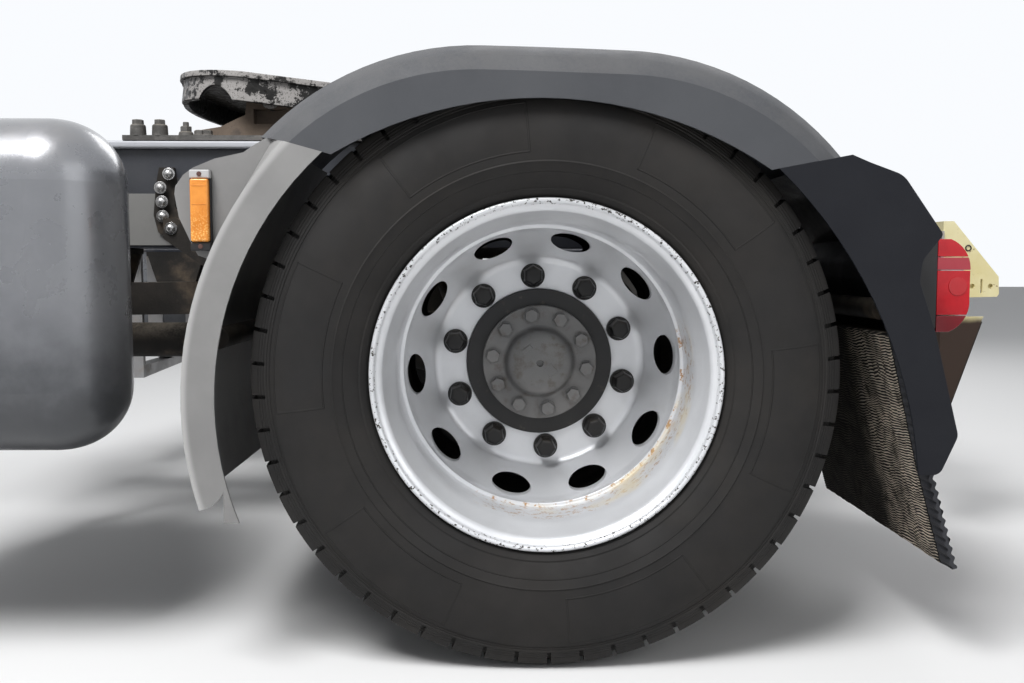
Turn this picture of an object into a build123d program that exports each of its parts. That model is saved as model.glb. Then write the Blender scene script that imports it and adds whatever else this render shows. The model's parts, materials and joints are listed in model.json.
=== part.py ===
"""Rear end of a road tractor's chassis, in millimetres: X forward, Y left, Z up.

The origin is the middle of the front crossmember's front face. Side views are drawn on planes whose own
origin is the drive axle's centre, with x forward and y up.
"""
from build123d import *
from math import atan2, cos, degrees, radians, sin
import os

os.makedirs("parts", exist_ok=True)

# chassis frame
axle_setback = 1480
axle_drop = 360
frame_width = 790
rail_height = 260
rail_flange = 75
rail_wall = 8
rear_overhang = 1000
tail_height = 90
tail_taper = 320

# drive wheels
rim_offset = 175
rim_width = 228.6
flange_width = 12
flange_radius = 298.5
seat_radius = 285.75
well_radius = 268
rim_wall = 7
disc_wall = 12
mating_plane = 925
disc_flat_radius = 206
disc_cone_run = 66
disc_lap = 42
spigot_radius = 140.5
spigot_gap = 0.3
nut_circle = 335
nut_count = 10
nut_radius = 18
nut_height = 26
nut_turn = 4.32
hand_hole_width = 76
hand_hole_height = 30
hand_hole_circle = 235.5
tyre_radius = 502
tyre_width = 312
tyre_shoulder_radius = 490
tyre_shoulder_width = 256
tyre_belly_radius = 396
tread_wall = 34
side_wall = 14
bead_width = 30

# hub and brake
hub_flange_radius = 196
hub_flange_wall = 20
hub_barrel_radius = 118
hub_face = 947
shaft_flange_radius = 110
shaft_flange_wall = 14
cap_radius = 70
cap_height = 26
shaft_bolt_circle = 182
shaft_bolt_count = 10
shaft_bolt_radius = 14
shaft_bolt_height = 11
disc_brake_radius = 215
disc_brake_wall = 45
disc_brake_plane = 712
spindle_radius = 60
running_gap = 8

# mudguards
guard_cover = 12
guard_margin = 18
guard_wall = 5
crown_radius = 500
crown_front = (118, 55)
crown_rear = (-116, 48)
crown_bevel = 58

# fifth wheel coupling
coupling_lead = 635
pivot_rise = 90
coupling_tilt = 7
plate_width = 900
plate_front = 305
plate_shoulder = (276, 200)
plate_lip = 22
plate_rear = 560
plate_wall = 14
plate_skirt = 68
plate_top = 50
kingpin_radius = 25.4
mount_plate_wall = 12
pin_radius = 22
pin_gap = 0.3

axle_x = -axle_setback
axle_z = -axle_drop
half_frame = frame_width / 2
rail_top = axle_drop + rail_height / 2
rail_bottom = axle_drop - rail_height / 2
rail_tail = -rear_overhang
tail_top = rail_bottom + tail_height
tail_middle = rail_bottom + tail_height / 2
deck = rail_top + mount_plate_wall
pivot_height = deck + pivot_rise
outer_rim_plane = mating_plane + rim_offset
inner_rim_plane = mating_plane - rim_offset
guard_outside = outer_rim_plane + tyre_width / 2 + guard_cover
guard_inside = inner_rim_plane - tyre_width / 2 + guard_margin


def side_view(y):
    """A side view at y across the frame; extruding goes towards the right-hand side."""
    return Plane(origin=(axle_x, y, axle_z), x_dir=(1, 0, 0), z_dir=(0, -1, 0))


def end_view(x):
    """A view from ahead at x from the axle; local x is Y, local y is up, extruding goes forward."""
    return Plane(origin=(axle_x + x, 0, axle_z), x_dir=(0, 1, 0), z_dir=(1, 0, 0))


def top_view(z):
    """A view from above at z over the axle; extruding goes up."""
    return Plane(origin=(axle_x, 0, axle_z + z), x_dir=(1, 0, 0), z_dir=(0, 0, 1))


wheel_axis = Axis((axle_x, 0, axle_z), (0, 1, 0))
# local x is Y across the frame, local y is the radius
wheel_section = Plane(origin=(axle_x, 0, axle_z), x_dir=(0, 1, 0), z_dir=(1, 0, 0))


def polar(radius, turn):
    """A point of a side view at a radius, its turn in degrees forward from straight up."""
    return (radius * sin(radians(turn)), radius * cos(radians(turn)))


def save(part, name):
    part.label = name
    export_step(part, f"parts/{name}.step")


def save_both(part, name):
    """Writes a left-hand piece and its mirror image as one node."""
    with BuildPart() as both:
        add(part)
        mirror(part, about=Plane.XZ)
    save(both.part, name)


def save_sides(part, name):
    """Writes a left-hand piece and its mirror image as two nodes."""
    save(part, f"{name}_left")
    with BuildPart() as right:
        mirror(part, about=Plane.XZ)
    save(right.part, f"{name}_right")


# frame rails, channels open to the middle, whose tops slope down at the tail
def rail_side(inset):
    """The rail's side outline, moved in from its top and bottom."""
    return [(axle_setback, rail_bottom + inset), (axle_setback, rail_top - inset),
            (rail_tail + tail_taper, rail_top - inset), (rail_tail, tail_top - inset),
            (rail_tail, rail_bottom + inset)]


with BuildPart() as rail:
    with BuildSketch(side_view(half_frame)):
        with BuildLine():
            Polyline(*rail_side(0), close=True)
        make_face()
    extrude(amount=rail_flange)
    with BuildSketch(side_view(half_frame - rail_wall)):
        with BuildLine():
            Polyline(*rail_side(rail_wall), close=True)
        make_face()
    extrude(amount=rail_flange, mode=Mode.SUBTRACT)
save_both(rail.part, "frame_rails")

# front crossmember: a flanged plate across the cut ends of the rails
member_width = frame_width - 2 * rail_wall
member_height = rail_height - 2 * rail_wall
splice_bolt_radius = 8.5
splice_spacing = (600, 160)
lightening_radius = 60
with BuildPart() as front_member:
    with BuildSketch(Plane.YZ):
        Rectangle(member_width, member_height)
        with GridLocations(splice_spacing[0], splice_spacing[1], 2, 2):
            Circle(splice_bolt_radius, mode=Mode.SUBTRACT)
        with GridLocations(splice_spacing[0] * 0.6, 0, 2, 1):
            Circle(lightening_radius, mode=Mode.SUBTRACT)
    extrude(amount=-rail_wall)
    with BuildSketch(Plane.YZ.offset(-rail_wall)):
        for edge in (-1, 1):
            with Locations((0, edge * (member_height - rail_wall) / 2)):
                Rectangle(member_width, rail_wall)
    extrude(amount=-rail_flange)
save(front_member.part, "front_crossmember")

# middle crossmember: a tube with end plates, ahead of the axle
mid_member_x = 480
mid_tube_radius = 55
web_gap = half_frame - rail_wall
with BuildPart() as mid_member:
    with BuildSketch(Plane(origin=(axle_x + mid_member_x, -web_gap, 0), x_dir=(1, 0, 0), z_dir=(0, 1, 0))):
        Circle(mid_tube_radius)
        Circle(mid_tube_radius - rail_wall, mode=Mode.SUBTRACT)
    extrude(amount=2 * web_gap)
    for edge in (-1, 1):
        with BuildSketch(Plane(origin=(axle_x + mid_member_x, edge * web_gap, 0), x_dir=(1, 0, 0),
                               z_dir=(0, -edge, 0))):
            Rectangle(220, member_height - 30)
            Circle(mid_tube_radius - rail_wall, mode=Mode.SUBTRACT)
        extrude(amount=10)
        with BuildSketch(side_view(edge * 260 + 45)):
            with Locations((mid_member_x, axle_drop - mid_tube_radius + 10)):
                Rectangle(100, 30)
        extrude(amount=90)
    with BuildSketch(side_view(web_gap)):
        with Locations((mid_member_x, axle_drop)):
            Circle(mid_tube_radius - rail_wall)
    extrude(amount=2 * web_gap, mode=Mode.SUBTRACT)
save(mid_member.part, "mid_crossmember")

# rear crossmember with the jaw and pin hole for manoeuvring
tow_jaw_length = 120
tow_jaw_width = 110
tow_jaw_gap = 44
tow_jaw_wall = 22
tow_jaw_back = 30
tow_pin_radius = 20
tail_member_height = tail_height - 2 * rail_wall
with BuildPart() as rear_member:
    with BuildSketch(end_view(rail_tail)):
        with Locations((0, tail_middle)):
            Rectangle(member_width, tail_member_height)
    extrude(amount=rail_wall)
    with BuildSketch(end_view(rail_tail)):
        for edge in (-1, 1):
            with Locations((0, tail_middle + edge * (tail_member_height - rail_wall) / 2)):
                Rectangle(member_width, rail_wall)
    extrude(amount=rail_flange)
    with BuildSketch(side_view(tow_jaw_width / 2)):
        with Locations((rail_tail - tow_jaw_length / 2, tail_middle)):
            Rectangle(tow_jaw_length, tow_jaw_gap + 2 * tow_jaw_wall)
        with Locations((rail_tail - (tow_jaw_length + tow_jaw_back) / 2, tail_middle)):
            Rectangle(tow_jaw_length - tow_jaw_back, tow_jaw_gap, mode=Mode.SUBTRACT)
    extrude(amount=tow_jaw_width)
    with BuildSketch(top_view(tail_middle - tow_jaw_gap)):
        with Locations((rail_tail - tow_jaw_length * 0.6, 0)):
            Circle(tow_pin_radius)
    extrude(amount=2 * tow_jaw_gap, mode=Mode.SUBTRACT)
save(rear_member.part, "rear_crossmember")

# mounting plate of the coupling with its bolts
mount_front = 986
mount_length = 726
mount_lap = 20
window_margin = 150
window_shelf = 170
# bolt places from the axle: x, bolt radius, bolt height
mount_bolts = [(953, 17, 39), (900, 17, 39), (837, 13, 34), (804, 13, 15), (466, 13, 15), (433, 13, 34)]
with BuildPart() as mount_plate:
    with BuildSketch(top_view(rail_top)):
        with Locations((mount_front - mount_length / 2, 0)):
            Rectangle(mount_length, frame_width + 2 * mount_lap)
            Rectangle(mount_length - 2 * window_margin, frame_width - 2 * window_shelf, mode=Mode.SUBTRACT)
    extrude(amount=mount_plate_wall)
    for x, radius, height in mount_bolts:
        with BuildSketch(top_view(deck)):
            with Locations((x, half_frame + 2), (x, -half_frame - 2)):
                Circle(radius)
        extrude(amount=height)
save(mount_plate.part, "coupling_mount_plate")

# pedestals that carry the coupling's pivot, each with a pocket between the two ribs of its outer face
pedestal_outside = 380
pedestal_width = 70
pedestal_eye = 31
pedestal_pocket = 30
# columns: distance from the pivot, share of the pivot's height over the deck
pedestal_side = [(58, 1), (62, 0.6), (97, 0.42), (123, 0.28), (188, 0.16), (188, 0)]
with BuildPart() as pedestal:
    with BuildSketch(side_view(pedestal_outside)):
        with BuildLine():
            Polyline(*[(coupling_lead + x, deck + share * pivot_rise) for x, share in pedestal_side],
                     *[(coupling_lead - x, deck + share * pivot_rise) for x, share in reversed(pedestal_side)],
                     close=True)
        make_face()
        with Locations((coupling_lead, pivot_height)):
            Circle(pedestal_eye)
            Circle(pin_radius + pin_gap, mode=Mode.SUBTRACT)
    extrude(amount=pedestal_width)
    with BuildSketch(side_view(pedestal_outside)):
        with Locations((coupling_lead, deck + 0.56 * pivot_rise)):
            Rectangle(82, 0.4 * pivot_rise)
    extrude(amount=pedestal_pocket, mode=Mode.SUBTRACT)
save_both(pedestal.part, "coupling_pedestals")

# fifth wheel plate, drawn from above on its tilted plane
coupling_plane = Plane(origin=(axle_x + coupling_lead, 0, axle_z + pivot_height),
                       x_dir=(cos(radians(coupling_tilt)), 0, sin(radians(coupling_tilt))),
                       z_dir=(-sin(radians(coupling_tilt)), 0, cos(radians(coupling_tilt))))
half_plate = plate_width / 2
throat_half = 190
tail_x = -plate_rear
lug_outside = pedestal_outside - pedestal_width - 8
lug_wall = 24
lug_radius = 42
# arches cut in the skirt's front corners: distance ahead of the pivot, height under the pivot's plane
arch_points = [(170, -60), (168, 14), (137, 32), (105, 22), (86, -60)]
shoulder_bend = (plate_shoulder[0] - 64, (half_plate + plate_shoulder[1]) / 2 + 25)
# the skirt ends short of the nose on a slant: place ahead of the pivot, depth under the plate's top
nose_clear = [(168, 2 * plate_skirt), (168, plate_skirt + 12), (210, plate_lip), (plate_front + 60, plate_lip),
              (plate_front + 60, 2 * plate_skirt)]


def plate_outline(inset):
    """The coupling's plan: a flat nose with round shoulders, straight sides and two tails."""
    with BuildLine() as outline:
        front = Line((60, half_plate - inset), (-180, half_plate - inset))
        tail = Line(front @ 1, (tail_x + inset, half_plate - 110))
        end = Line(tail @ 1, (tail_x + inset, throat_half + inset))
        way_in = Line(end @ 1, (-80, kingpin_radius + inset))
        seat_in = Line(way_in @ 1, (0, kingpin_radius + inset))
        seat = ThreePointArc(seat_in @ 1, (kingpin_radius + inset, 0), (0, -kingpin_radius - inset))
        seat_out = Line(seat @ 1, (-80, -kingpin_radius - inset))
        way_out = Line(seat_out @ 1, (tail_x + inset, -throat_half - inset))
        other_end = Line(way_out @ 1, (tail_x + inset, 110 - half_plate))
        other_tail = Line(other_end @ 1, (-180, inset - half_plate))
        other_side = Line(other_tail @ 1, (60, inset - half_plate))
        nose_x, nose_y = plate_shoulder[0] - inset, plate_shoulder[1]
        bend_x, bend_y = shoulder_bend[0] - 0.7 * inset, shoulder_bend[1] - 0.7 * inset
        other_shoulder = ThreePointArc(other_side @ 1, (bend_x, -bend_y), (nose_x, -nose_y))
        nose = ThreePointArc(other_shoulder @ 1, (plate_front - inset, 0), (nose_x, nose_y))
        ThreePointArc(nose @ 1, (bend_x, bend_y), front @ 0)
    return outline.line.edges()


with BuildPart() as coupling_plate:
    with BuildSketch(coupling_plane.offset(plate_top)):
        make_face(plate_outline(0))
    extrude(amount=-plate_wall)
    with BuildSketch(coupling_plane.offset(plate_top - plate_wall)):
        make_face(plate_outline(10))
        make_face(plate_outline(26), mode=Mode.SUBTRACT)
    extrude(amount=plate_wall - plate_skirt)
    with BuildSketch(side_view(half_plate)):
        with BuildLine():
            Spline(*[(coupling_lead + x, pivot_height + z) for x, z in arch_points])
            Line((coupling_lead + arch_points[-1][0], pivot_height + arch_points[-1][1]),
                 (coupling_lead + arch_points[0][0], pivot_height + arch_points[0][1]))
        make_face()
        with Locations(Location((coupling_lead, pivot_height, 0), (0, 0, coupling_tilt))):
            with BuildLine():
                Polyline(*[(x, plate_top - depth) for x, depth in nose_clear], close=True)
            make_face()
    extrude(amount=plate_width, mode=Mode.SUBTRACT)
    for outside in (lug_outside, lug_wall - lug_outside):
        with BuildSketch(side_view(outside)):
            with Locations((coupling_lead, pivot_height)):
                Circle(lug_radius)
                with Locations((0, lug_radius / 2)):
                    Rectangle(2 * lug_radius, lug_radius)
        extrude(amount=lug_wall)
    for outside in (pedestal_outside, lug_wall - lug_outside):
        with BuildSketch(side_view(outside)):
            with Locations((coupling_lead, pivot_height)):
                Circle(pin_radius)
        extrude(amount=pedestal_outside - lug_outside + lug_wall)
save(coupling_plate.part, "coupling_plate")

# lock of the coupling: the jaw beside the kingpin's seat, with the release bar out to the left
lock_length = 130
lock_width = 60
lock_wall = 36
lock_y = kingpin_radius + 60
lock_top = plate_top - plate_wall
bar_x = -150
bar_width = 22
bar_wall = 12
bar_top = plate_top - plate_skirt - 6
bar_end = half_plate + 40
with BuildPart() as coupling_lock:
    with BuildSketch(coupling_plane.offset(lock_top)):
        with Locations((-10, lock_y)):
            Rectangle(lock_length, lock_width)
    extrude(amount=-lock_wall)
    with BuildSketch(coupling_plane.offset(lock_top)):
        with Locations((bar_x, lock_y + lock_width)):
            Rectangle(bar_width, lock_width)
    extrude(amount=bar_top - bar_wall - lock_top)
    with BuildSketch(coupling_plane.offset(lock_top - lock_wall)):
        with Locations(((bar_x - 10) / 2 - lock_length / 4, lock_y + lock_width / 2)):
            Rectangle(abs(bar_x), bar_width)
    extrude(amount=bar_wall)
    with BuildSketch(coupling_plane.offset(bar_top)):
        with Locations((bar_x, (lock_y + bar_end) / 2)):
            Rectangle(bar_width, bar_end - lock_y)
        with Locations((bar_x, bar_end)):
            Circle(26)
            Circle(15, mode=Mode.SUBTRACT)
    extrude(amount=-bar_wall)
save(coupling_lock.part, "coupling_lock")

# drive axle: banjo housing with its tapered arms, brake flanges and spindles
banjo_radius = 205
banjo_width = 250
arm_radius = 75
arm_start = 280
brake_flange_plane = 640
brake_flange_radius = 150
brake_flange_wall = 20
spindle_end = 928
with BuildPart() as drive_axle:
    with BuildSketch(side_view(banjo_width / 2)):
        Circle(banjo_radius)
    extrude(amount=banjo_width)
    with BuildSketch(wheel_section):
        with BuildLine():
            Polyline((0, 0), (0, 150), (banjo_width / 2, 150), (arm_start, arm_radius), (brake_flange_plane - brake_flange_wall, arm_radius),
                     (brake_flange_plane - brake_flange_wall, brake_flange_radius), (brake_flange_plane, brake_flange_radius),
                     (brake_flange_plane, spindle_radius + 12), (brake_flange_plane + 12, spindle_radius),
                     (spindle_end, spindle_radius), (spindle_end, 0), close=True)
        make_face()
    revolve(axis=wheel_axis)
    with BuildSketch(wheel_section):
        with BuildLine():
            Polyline((0, 0), (0, 150), (-banjo_width / 2, 150), (-arm_start, arm_radius),
                     (brake_flange_wall - brake_flange_plane, arm_radius), (brake_flange_wall - brake_flange_plane, brake_flange_radius),
                     (-brake_flange_plane, brake_flange_radius), (-brake_flange_plane, spindle_radius + 12),
                     (-brake_flange_plane - 12, spindle_radius), (-spindle_end, spindle_radius),
                     (-spindle_end, 0), close=True)
        make_face()
    revolve(axis=wheel_axis)
save(drive_axle.part, "drive_axle")

# final drive: the nose ahead of the banjo, with its pinion shaft
nose_length = 190
nose_radius = 62
pinion_drop = 25
pinion_radius = 32
shaft_gap = 6
nose_end = banjo_radius + nose_length
with BuildPart() as final_drive:
    with BuildSketch(end_view(banjo_width / 2 + 30)):
        Circle(150)
    with BuildSketch(end_view(nose_end)):
        with Locations((0, -pinion_drop)):
            Circle(nose_radius)
    loft(ruled=True)
    with BuildSketch(side_view(banjo_width / 2)):
        Circle(banjo_radius)
    extrude(amount=banjo_width, mode=Mode.SUBTRACT)
    with BuildSketch(end_view(nose_end - 60)):
        with Locations((0, -pinion_drop)):
            Circle(pinion_radius + pin_gap)
    extrude(amount=70, mode=Mode.SUBTRACT)
save(final_drive.part, "final_drive")

# propeller shaft from the pinion to a flange at the frame's cut, with a joint at its rear end
flange_pcd = 155.5
flange_bolt_radius = 7
shaft_flange_plate = 90
shaft_flange_thick = 14
tube_radius = 49
yoke_length = 90
bearing_x = 1330
bearing_width = 40
journal_radius = 36
journal_end = bearing_x + bearing_width + shaft_gap
# columns: distance ahead of the axle, radius
shaft_steps = [(nose_end - 50, pinion_radius), (nose_end + shaft_gap, pinion_radius),
               (nose_end + shaft_gap, shaft_flange_plate),
               (nose_end + shaft_gap + 2 * shaft_flange_thick, shaft_flange_plate),
               (nose_end + shaft_gap + 2 * shaft_flange_thick, tube_radius + 12),
               (nose_end + yoke_length, tube_radius + 12), (nose_end + yoke_length + 40, tube_radius),
               (bearing_x - shaft_gap, tube_radius), (bearing_x - shaft_gap, journal_radius),
               (journal_end, journal_radius), (journal_end, shaft_flange_plate),
               (journal_end + shaft_flange_thick, shaft_flange_plate)]
shaft_line = Plane(origin=(axle_x, 0, axle_z - pinion_drop), x_dir=(1, 0, 0), z_dir=(0, -1, 0))
with BuildPart() as propeller_shaft:
    with BuildSketch(shaft_line):
        with BuildLine():
            Polyline((shaft_steps[0][0], 0), *shaft_steps, (shaft_steps[-1][0], 0), close=True)
        make_face()
    revolve(axis=Axis((axle_x, 0, axle_z - pinion_drop), (1, 0, 0)))
    with BuildSketch(end_view(journal_end)):
        with Locations((0, -pinion_drop)):
            with PolarLocations(flange_pcd / 2, 8):
                Circle(flange_bolt_radius)
    extrude(amount=shaft_flange_thick, mode=Mode.SUBTRACT)
    with BuildSketch(shaft_line.offset(-yoke_length / 2)):
        with Locations((nose_end + yoke_length / 2 + 14, 0)):
            Circle(18)
    extrude(amount=yoke_length, mode=Mode.SUBTRACT)
save(propeller_shaft.part, "propeller_shaft")

# bearing that hangs the shaft's front end from the front crossmember
bearing_radius = 75
hanger_half = 150
with BuildPart() as shaft_bearing:
    with BuildSketch(end_view(bearing_x)):
        with BuildLine():
            Polyline((-hanger_half, rail_bottom + rail_wall), (hanger_half, rail_bottom + rail_wall),
                     (bearing_radius, -pinion_drop), (-bearing_radius, -pinion_drop), close=True)
        make_face()
        with Locations((0, -pinion_drop)):
            Circle(bearing_radius)
            Circle(journal_radius + pin_gap, mode=Mode.SUBTRACT)
    extrude(amount=bearing_width)
    with BuildSketch(top_view(rail_bottom + rail_wall)):
        with Locations(((bearing_x + axle_setback - rail_wall) / 2, 0)):
            Rectangle(axle_setback - rail_wall - bearing_x, 2 * hanger_half)
    extrude(amount=-2 * rail_wall)
save(shaft_bearing.part, "shaft_bearing")

# trailing suspension beams under the rails, sprung by bellows behind the axle
beam_outside = 378
beam_width = 90
hanger_x = 1080
beam_z = 103
beam_height = 80
bellows_x = -430
bellows_radius = 140
bellows_seat = -20
with BuildPart() as beam:
    with BuildSketch(side_view(beam_outside)):
        with BuildLine():
            Polyline((hanger_x, beam_z + beam_height / 2), (0, arm_radius + 82), (-150, arm_radius + 60),
                     (-330, bellows_seat), (bellows_x - 90, bellows_seat), (bellows_x - 90, bellows_seat - 40),
                     (-310, bellows_seat - 40), (-110, arm_radius), (110, arm_radius),
                     (hanger_x, beam_z - beam_height / 2), close=True)
        make_face()
        with Locations((hanger_x, beam_z)):
            Circle(beam_height / 2)
            Circle(22, mode=Mode.SUBTRACT)
    extrude(amount=beam_width)
    with BuildSketch(side_view(beam_outside)):
        Circle(arm_radius)
    extrude(amount=beam_width, mode=Mode.SUBTRACT)
save_both(beam.part, "suspension_beams")

hanger_wall = 14
hanger_eye = 50
hanger_foot = 90
hanger_pin = 22
with BuildPart() as hanger:
    for outside in (beam_outside + hanger_wall, beam_outside - beam_width):
        with BuildSketch(side_view(outside)):
            with BuildLine():
                Polyline((hanger_x - hanger_foot, rail_bottom), (hanger_x + hanger_foot, rail_bottom),
                         (hanger_x + hanger_eye, beam_z), (hanger_x - hanger_eye, beam_z), close=True)
            make_face()
            with Locations((hanger_x, beam_z)):
                Circle(hanger_eye)
        extrude(amount=hanger_wall)
    with BuildSketch(top_view(rail_bottom)):
        with Locations((hanger_x, beam_outside - beam_width / 2)):
            Rectangle(2 * hanger_foot, beam_width + 2 * hanger_wall)
    extrude(amount=-hanger_wall)
    with BuildSketch(side_view(beam_outside + hanger_wall)):
        with Locations((hanger_x, beam_z)):
            Circle(hanger_pin)
    extrude(amount=beam_width + 2 * hanger_wall)
save_both(hanger.part, "spring_hangers")

# columns: share of the bellows' radius, share of the height from the beam's seat to the rail
bellows_steps = [(0, 0), (0.64, 0), (0.64, 0.28), (0.93, 0.32), (1, 0.48), (0.95, 0.8), (0.72, 0.9), (0.72, 1), (0, 1)]
with BuildPart() as bellows:
    with BuildSketch(Plane(origin=(axle_x + bellows_x, beam_outside - beam_width / 2, axle_z), x_dir=(1, 0, 0),
                           z_dir=(0, -1, 0))):
        with BuildLine():
            Polyline(*[(bellows_radius * share, bellows_seat + (rail_bottom - bellows_seat) * rise)
                       for share, rise in bellows_steps], close=True)
        make_face()
    revolve(axis=Axis((axle_x + bellows_x, beam_outside - beam_width / 2, axle_z), (0, 0, 1)))
save_both(bellows.part, "air_bellows")

# shock absorbers between rail and axle
damper_top = (250, 500, 300)
damper_bottom = (150, 500, 20)
damper_radius = 34
damper_wall = 8
damper_eye = 30
damper_pin = 14
damper_foot = (150, 40, 20)
damper_axis = Vector(damper_bottom) - Vector(damper_top)
damper_plane = Plane(origin=Vector(axle_x, 0, axle_z) + Vector(damper_top), z_dir=damper_axis)
with BuildPart() as damper:
    with BuildSketch(damper_plane):
        Circle(damper_radius)
    extrude(amount=damper_axis.length * 0.55)
    with BuildSketch(damper_plane):
        Circle(damper_radius - damper_wall)
    extrude(amount=damper_axis.length)
    for place in (damper_top, damper_bottom):
        with BuildSketch(side_view(place[1] + damper_eye)):
            with Locations((place[0], place[2])):
                Circle(damper_eye)
        extrude(amount=2 * damper_eye)
    with BuildSketch(side_view(damper_top[1])):
        with Locations((damper_top[0], damper_top[2])):
            Circle(damper_pin)
    extrude(amount=damper_top[1] - half_frame)
    with BuildSketch(side_view(damper_bottom[1])):
        with Locations((damper_bottom[0] - damper_foot[0] * 0.4, damper_bottom[2])):
            Rectangle(damper_foot[0], damper_foot[1])
    extrude(amount=damper_foot[2])
    with BuildSketch(side_view(damper_bottom[1])):
        Circle(arm_radius)
    extrude(amount=damper_foot[2], mode=Mode.SUBTRACT)
save_both(damper.part, "shock_absorbers")

# triangular rod that locates the axle
rod_radius = 30
rod_apex = (0, 0, 232)
rod_foot = (mid_member_x, 260, axle_drop - mid_tube_radius - 50)
with BuildPart() as v_rod:
    with BuildSketch(top_view(banjo_radius - 15)):
        Circle(60)
    extrude(amount=rod_apex[2] + rod_radius - banjo_radius + 15)
    for edge in (-1, 1):
        foot = Vector(rod_foot[0], edge * rod_foot[1], rod_foot[2])
        run = foot - Vector(rod_apex)
        with BuildSketch(Plane(origin=Vector(axle_x, 0, axle_z) + Vector(rod_apex), z_dir=run)):
            Circle(rod_radius)
        extrude(amount=run.length)
        with BuildSketch(side_view(edge * rod_foot[1] + 40)):
            with Locations((rod_foot[0], rod_foot[2])):
                Circle(45)
        extrude(amount=80)
    with BuildSketch(side_view(banjo_width / 2)):
        Circle(banjo_radius)
    extrude(amount=banjo_width, mode=Mode.SUBTRACT)
save(v_rod.part, "v_rod")

# anti-roll bar behind the axle
roll_bar_radius = 24
roll_bar_x = -300
roll_bar_z = -112
roll_bar_reach = 442
roll_bar_end = -100
roll_bar_bend = 70
clamp_half = 25
clamp_rear = roll_bar_end - 30
with BuildPart() as roll_bar:
    with BuildLine(Plane(origin=(axle_x, 0, axle_z + roll_bar_z), x_dir=(1, 0, 0), z_dir=(0, 0, 1))):
        FilletPolyline((roll_bar_end, roll_bar_reach), (roll_bar_x, roll_bar_reach), (roll_bar_x, -roll_bar_reach),
                       (roll_bar_end, -roll_bar_reach), radius=roll_bar_bend)
    with BuildSketch(Plane(origin=(axle_x + roll_bar_end, roll_bar_reach, axle_z + roll_bar_z), z_dir=(-1, 0, 0))):
        Circle(roll_bar_radius)
    sweep()
    for edge in (-1, 1):
        with BuildSketch(side_view(edge * roll_bar_reach + clamp_half)):
            with BuildLine():
                Polyline((clamp_rear, roll_bar_z - roll_bar_radius - 6), (0, -arm_radius - 20), (0, 0),
                         (clamp_rear, 0), close=True)
            make_face()
        extrude(amount=2 * clamp_half)
    with BuildSketch(side_view(guard_inside)):
        Circle(arm_radius)
    extrude(amount=2 * guard_inside, mode=Mode.SUBTRACT)
save(roll_bar.part, "anti_roll_bar")

# brake calipers over the discs, with their chambers
caliper_turn = -62
caliper_inside = disc_brake_radius - 55
caliper_outside = 233
chamber_radius = 92
chamber_length = 130
caliper_plane = disc_brake_plane
caliper_gap = 8
caliper_nose = 42
caliper_length = disc_brake_wall + 130
chamber_plane = 600
chamber_circle = 170
carrier = (110, 200)
with BuildPart() as caliper:
    with BuildSketch(side_view(caliper_plane + disc_brake_wall / 2 + caliper_nose)):
        with BuildLine():
            start = caliper_turn - 30
            finish = caliper_turn + 30
            outer = ThreePointArc(polar(caliper_outside, start), polar(caliper_outside, caliper_turn),
                                  polar(caliper_outside, finish))
            Line(outer @ 1, polar(caliper_inside, finish))
            inner = ThreePointArc(polar(caliper_inside, finish), polar(caliper_inside, caliper_turn),
                                  polar(caliper_inside, start))
            Line(inner @ 1, outer @ 0)
        make_face()
    extrude(amount=caliper_length)
    with BuildSketch(side_view(caliper_plane + disc_brake_wall / 2 + caliper_gap)):
        Circle(disc_brake_radius + caliper_gap)
    extrude(amount=disc_brake_wall + 2 * caliper_gap, mode=Mode.SUBTRACT)
    with BuildSketch(side_view(chamber_plane)):
        with Locations(polar(chamber_circle, caliper_turn)):
            Circle(chamber_radius)
    extrude(amount=chamber_length)
    with BuildSketch(side_view(brake_flange_plane - brake_flange_wall)):
        with BuildLine():
            Polyline(polar(carrier[0], start), polar(carrier[1], start), polar(carrier[1], finish),
                     polar(carrier[0], finish), close=True)
        make_face()
    extrude(amount=brake_flange_wall)
save_both(caliper.part, "brake_calipers")

# mudguards: each is a shell of three arcs, rounded over at the outside down to a ridge above its lip
# columns: depth from the outside face, share of the way from the outer curve to the ridge
shoulder = [(118, 0), (63, 0.12), (26, 0.5), (6, 1)]


def curve_through(points):
    """Three arcs through seven points, closed below by the given base."""
    start, via_1, joint_1, via_2, joint_2, via_3, end = points
    with BuildLine() as curve:
        ThreePointArc(start, via_1, joint_1)
        ThreePointArc(joint_1, via_2, joint_2)
        ThreePointArc(joint_2, via_3, end)
    return curve.line.edges()


def blend(outer, ridge, share):
    return [(a[0] + (b[0] - a[0]) * share, a[1] + (b[1] - a[1]) * share) for a, b in zip(outer, ridge)]


def closed_under(points, base):
    with BuildLine() as closing:
        Polyline(points[-1], *base, points[0])
    return curve_through(points) + closing.line.edges()


def arch(radius):
    """The top mudguard's outline: two arcs about the crown's centres, nearly flat between them."""
    front, rear = Vector(crown_front), Vector(crown_rear)
    tilt = degrees(atan2(front.Y - rear.Y, front.X - rear.X))
    points = []
    for centre, turns in ((rear, (-62, -35, -tilt)), (front, (-tilt, 30, 58))):
        points += [(centre.X + radius * sin(radians(turn)), centre.Y + radius * cos(radians(turn)))
                   for turn in turns]
    middle = ((points[2][0] + points[3][0]) / 2, (points[2][1] + points[3][1]) / 2 + 0.6)
    return points[:3] + [middle] + points[3:]


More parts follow.
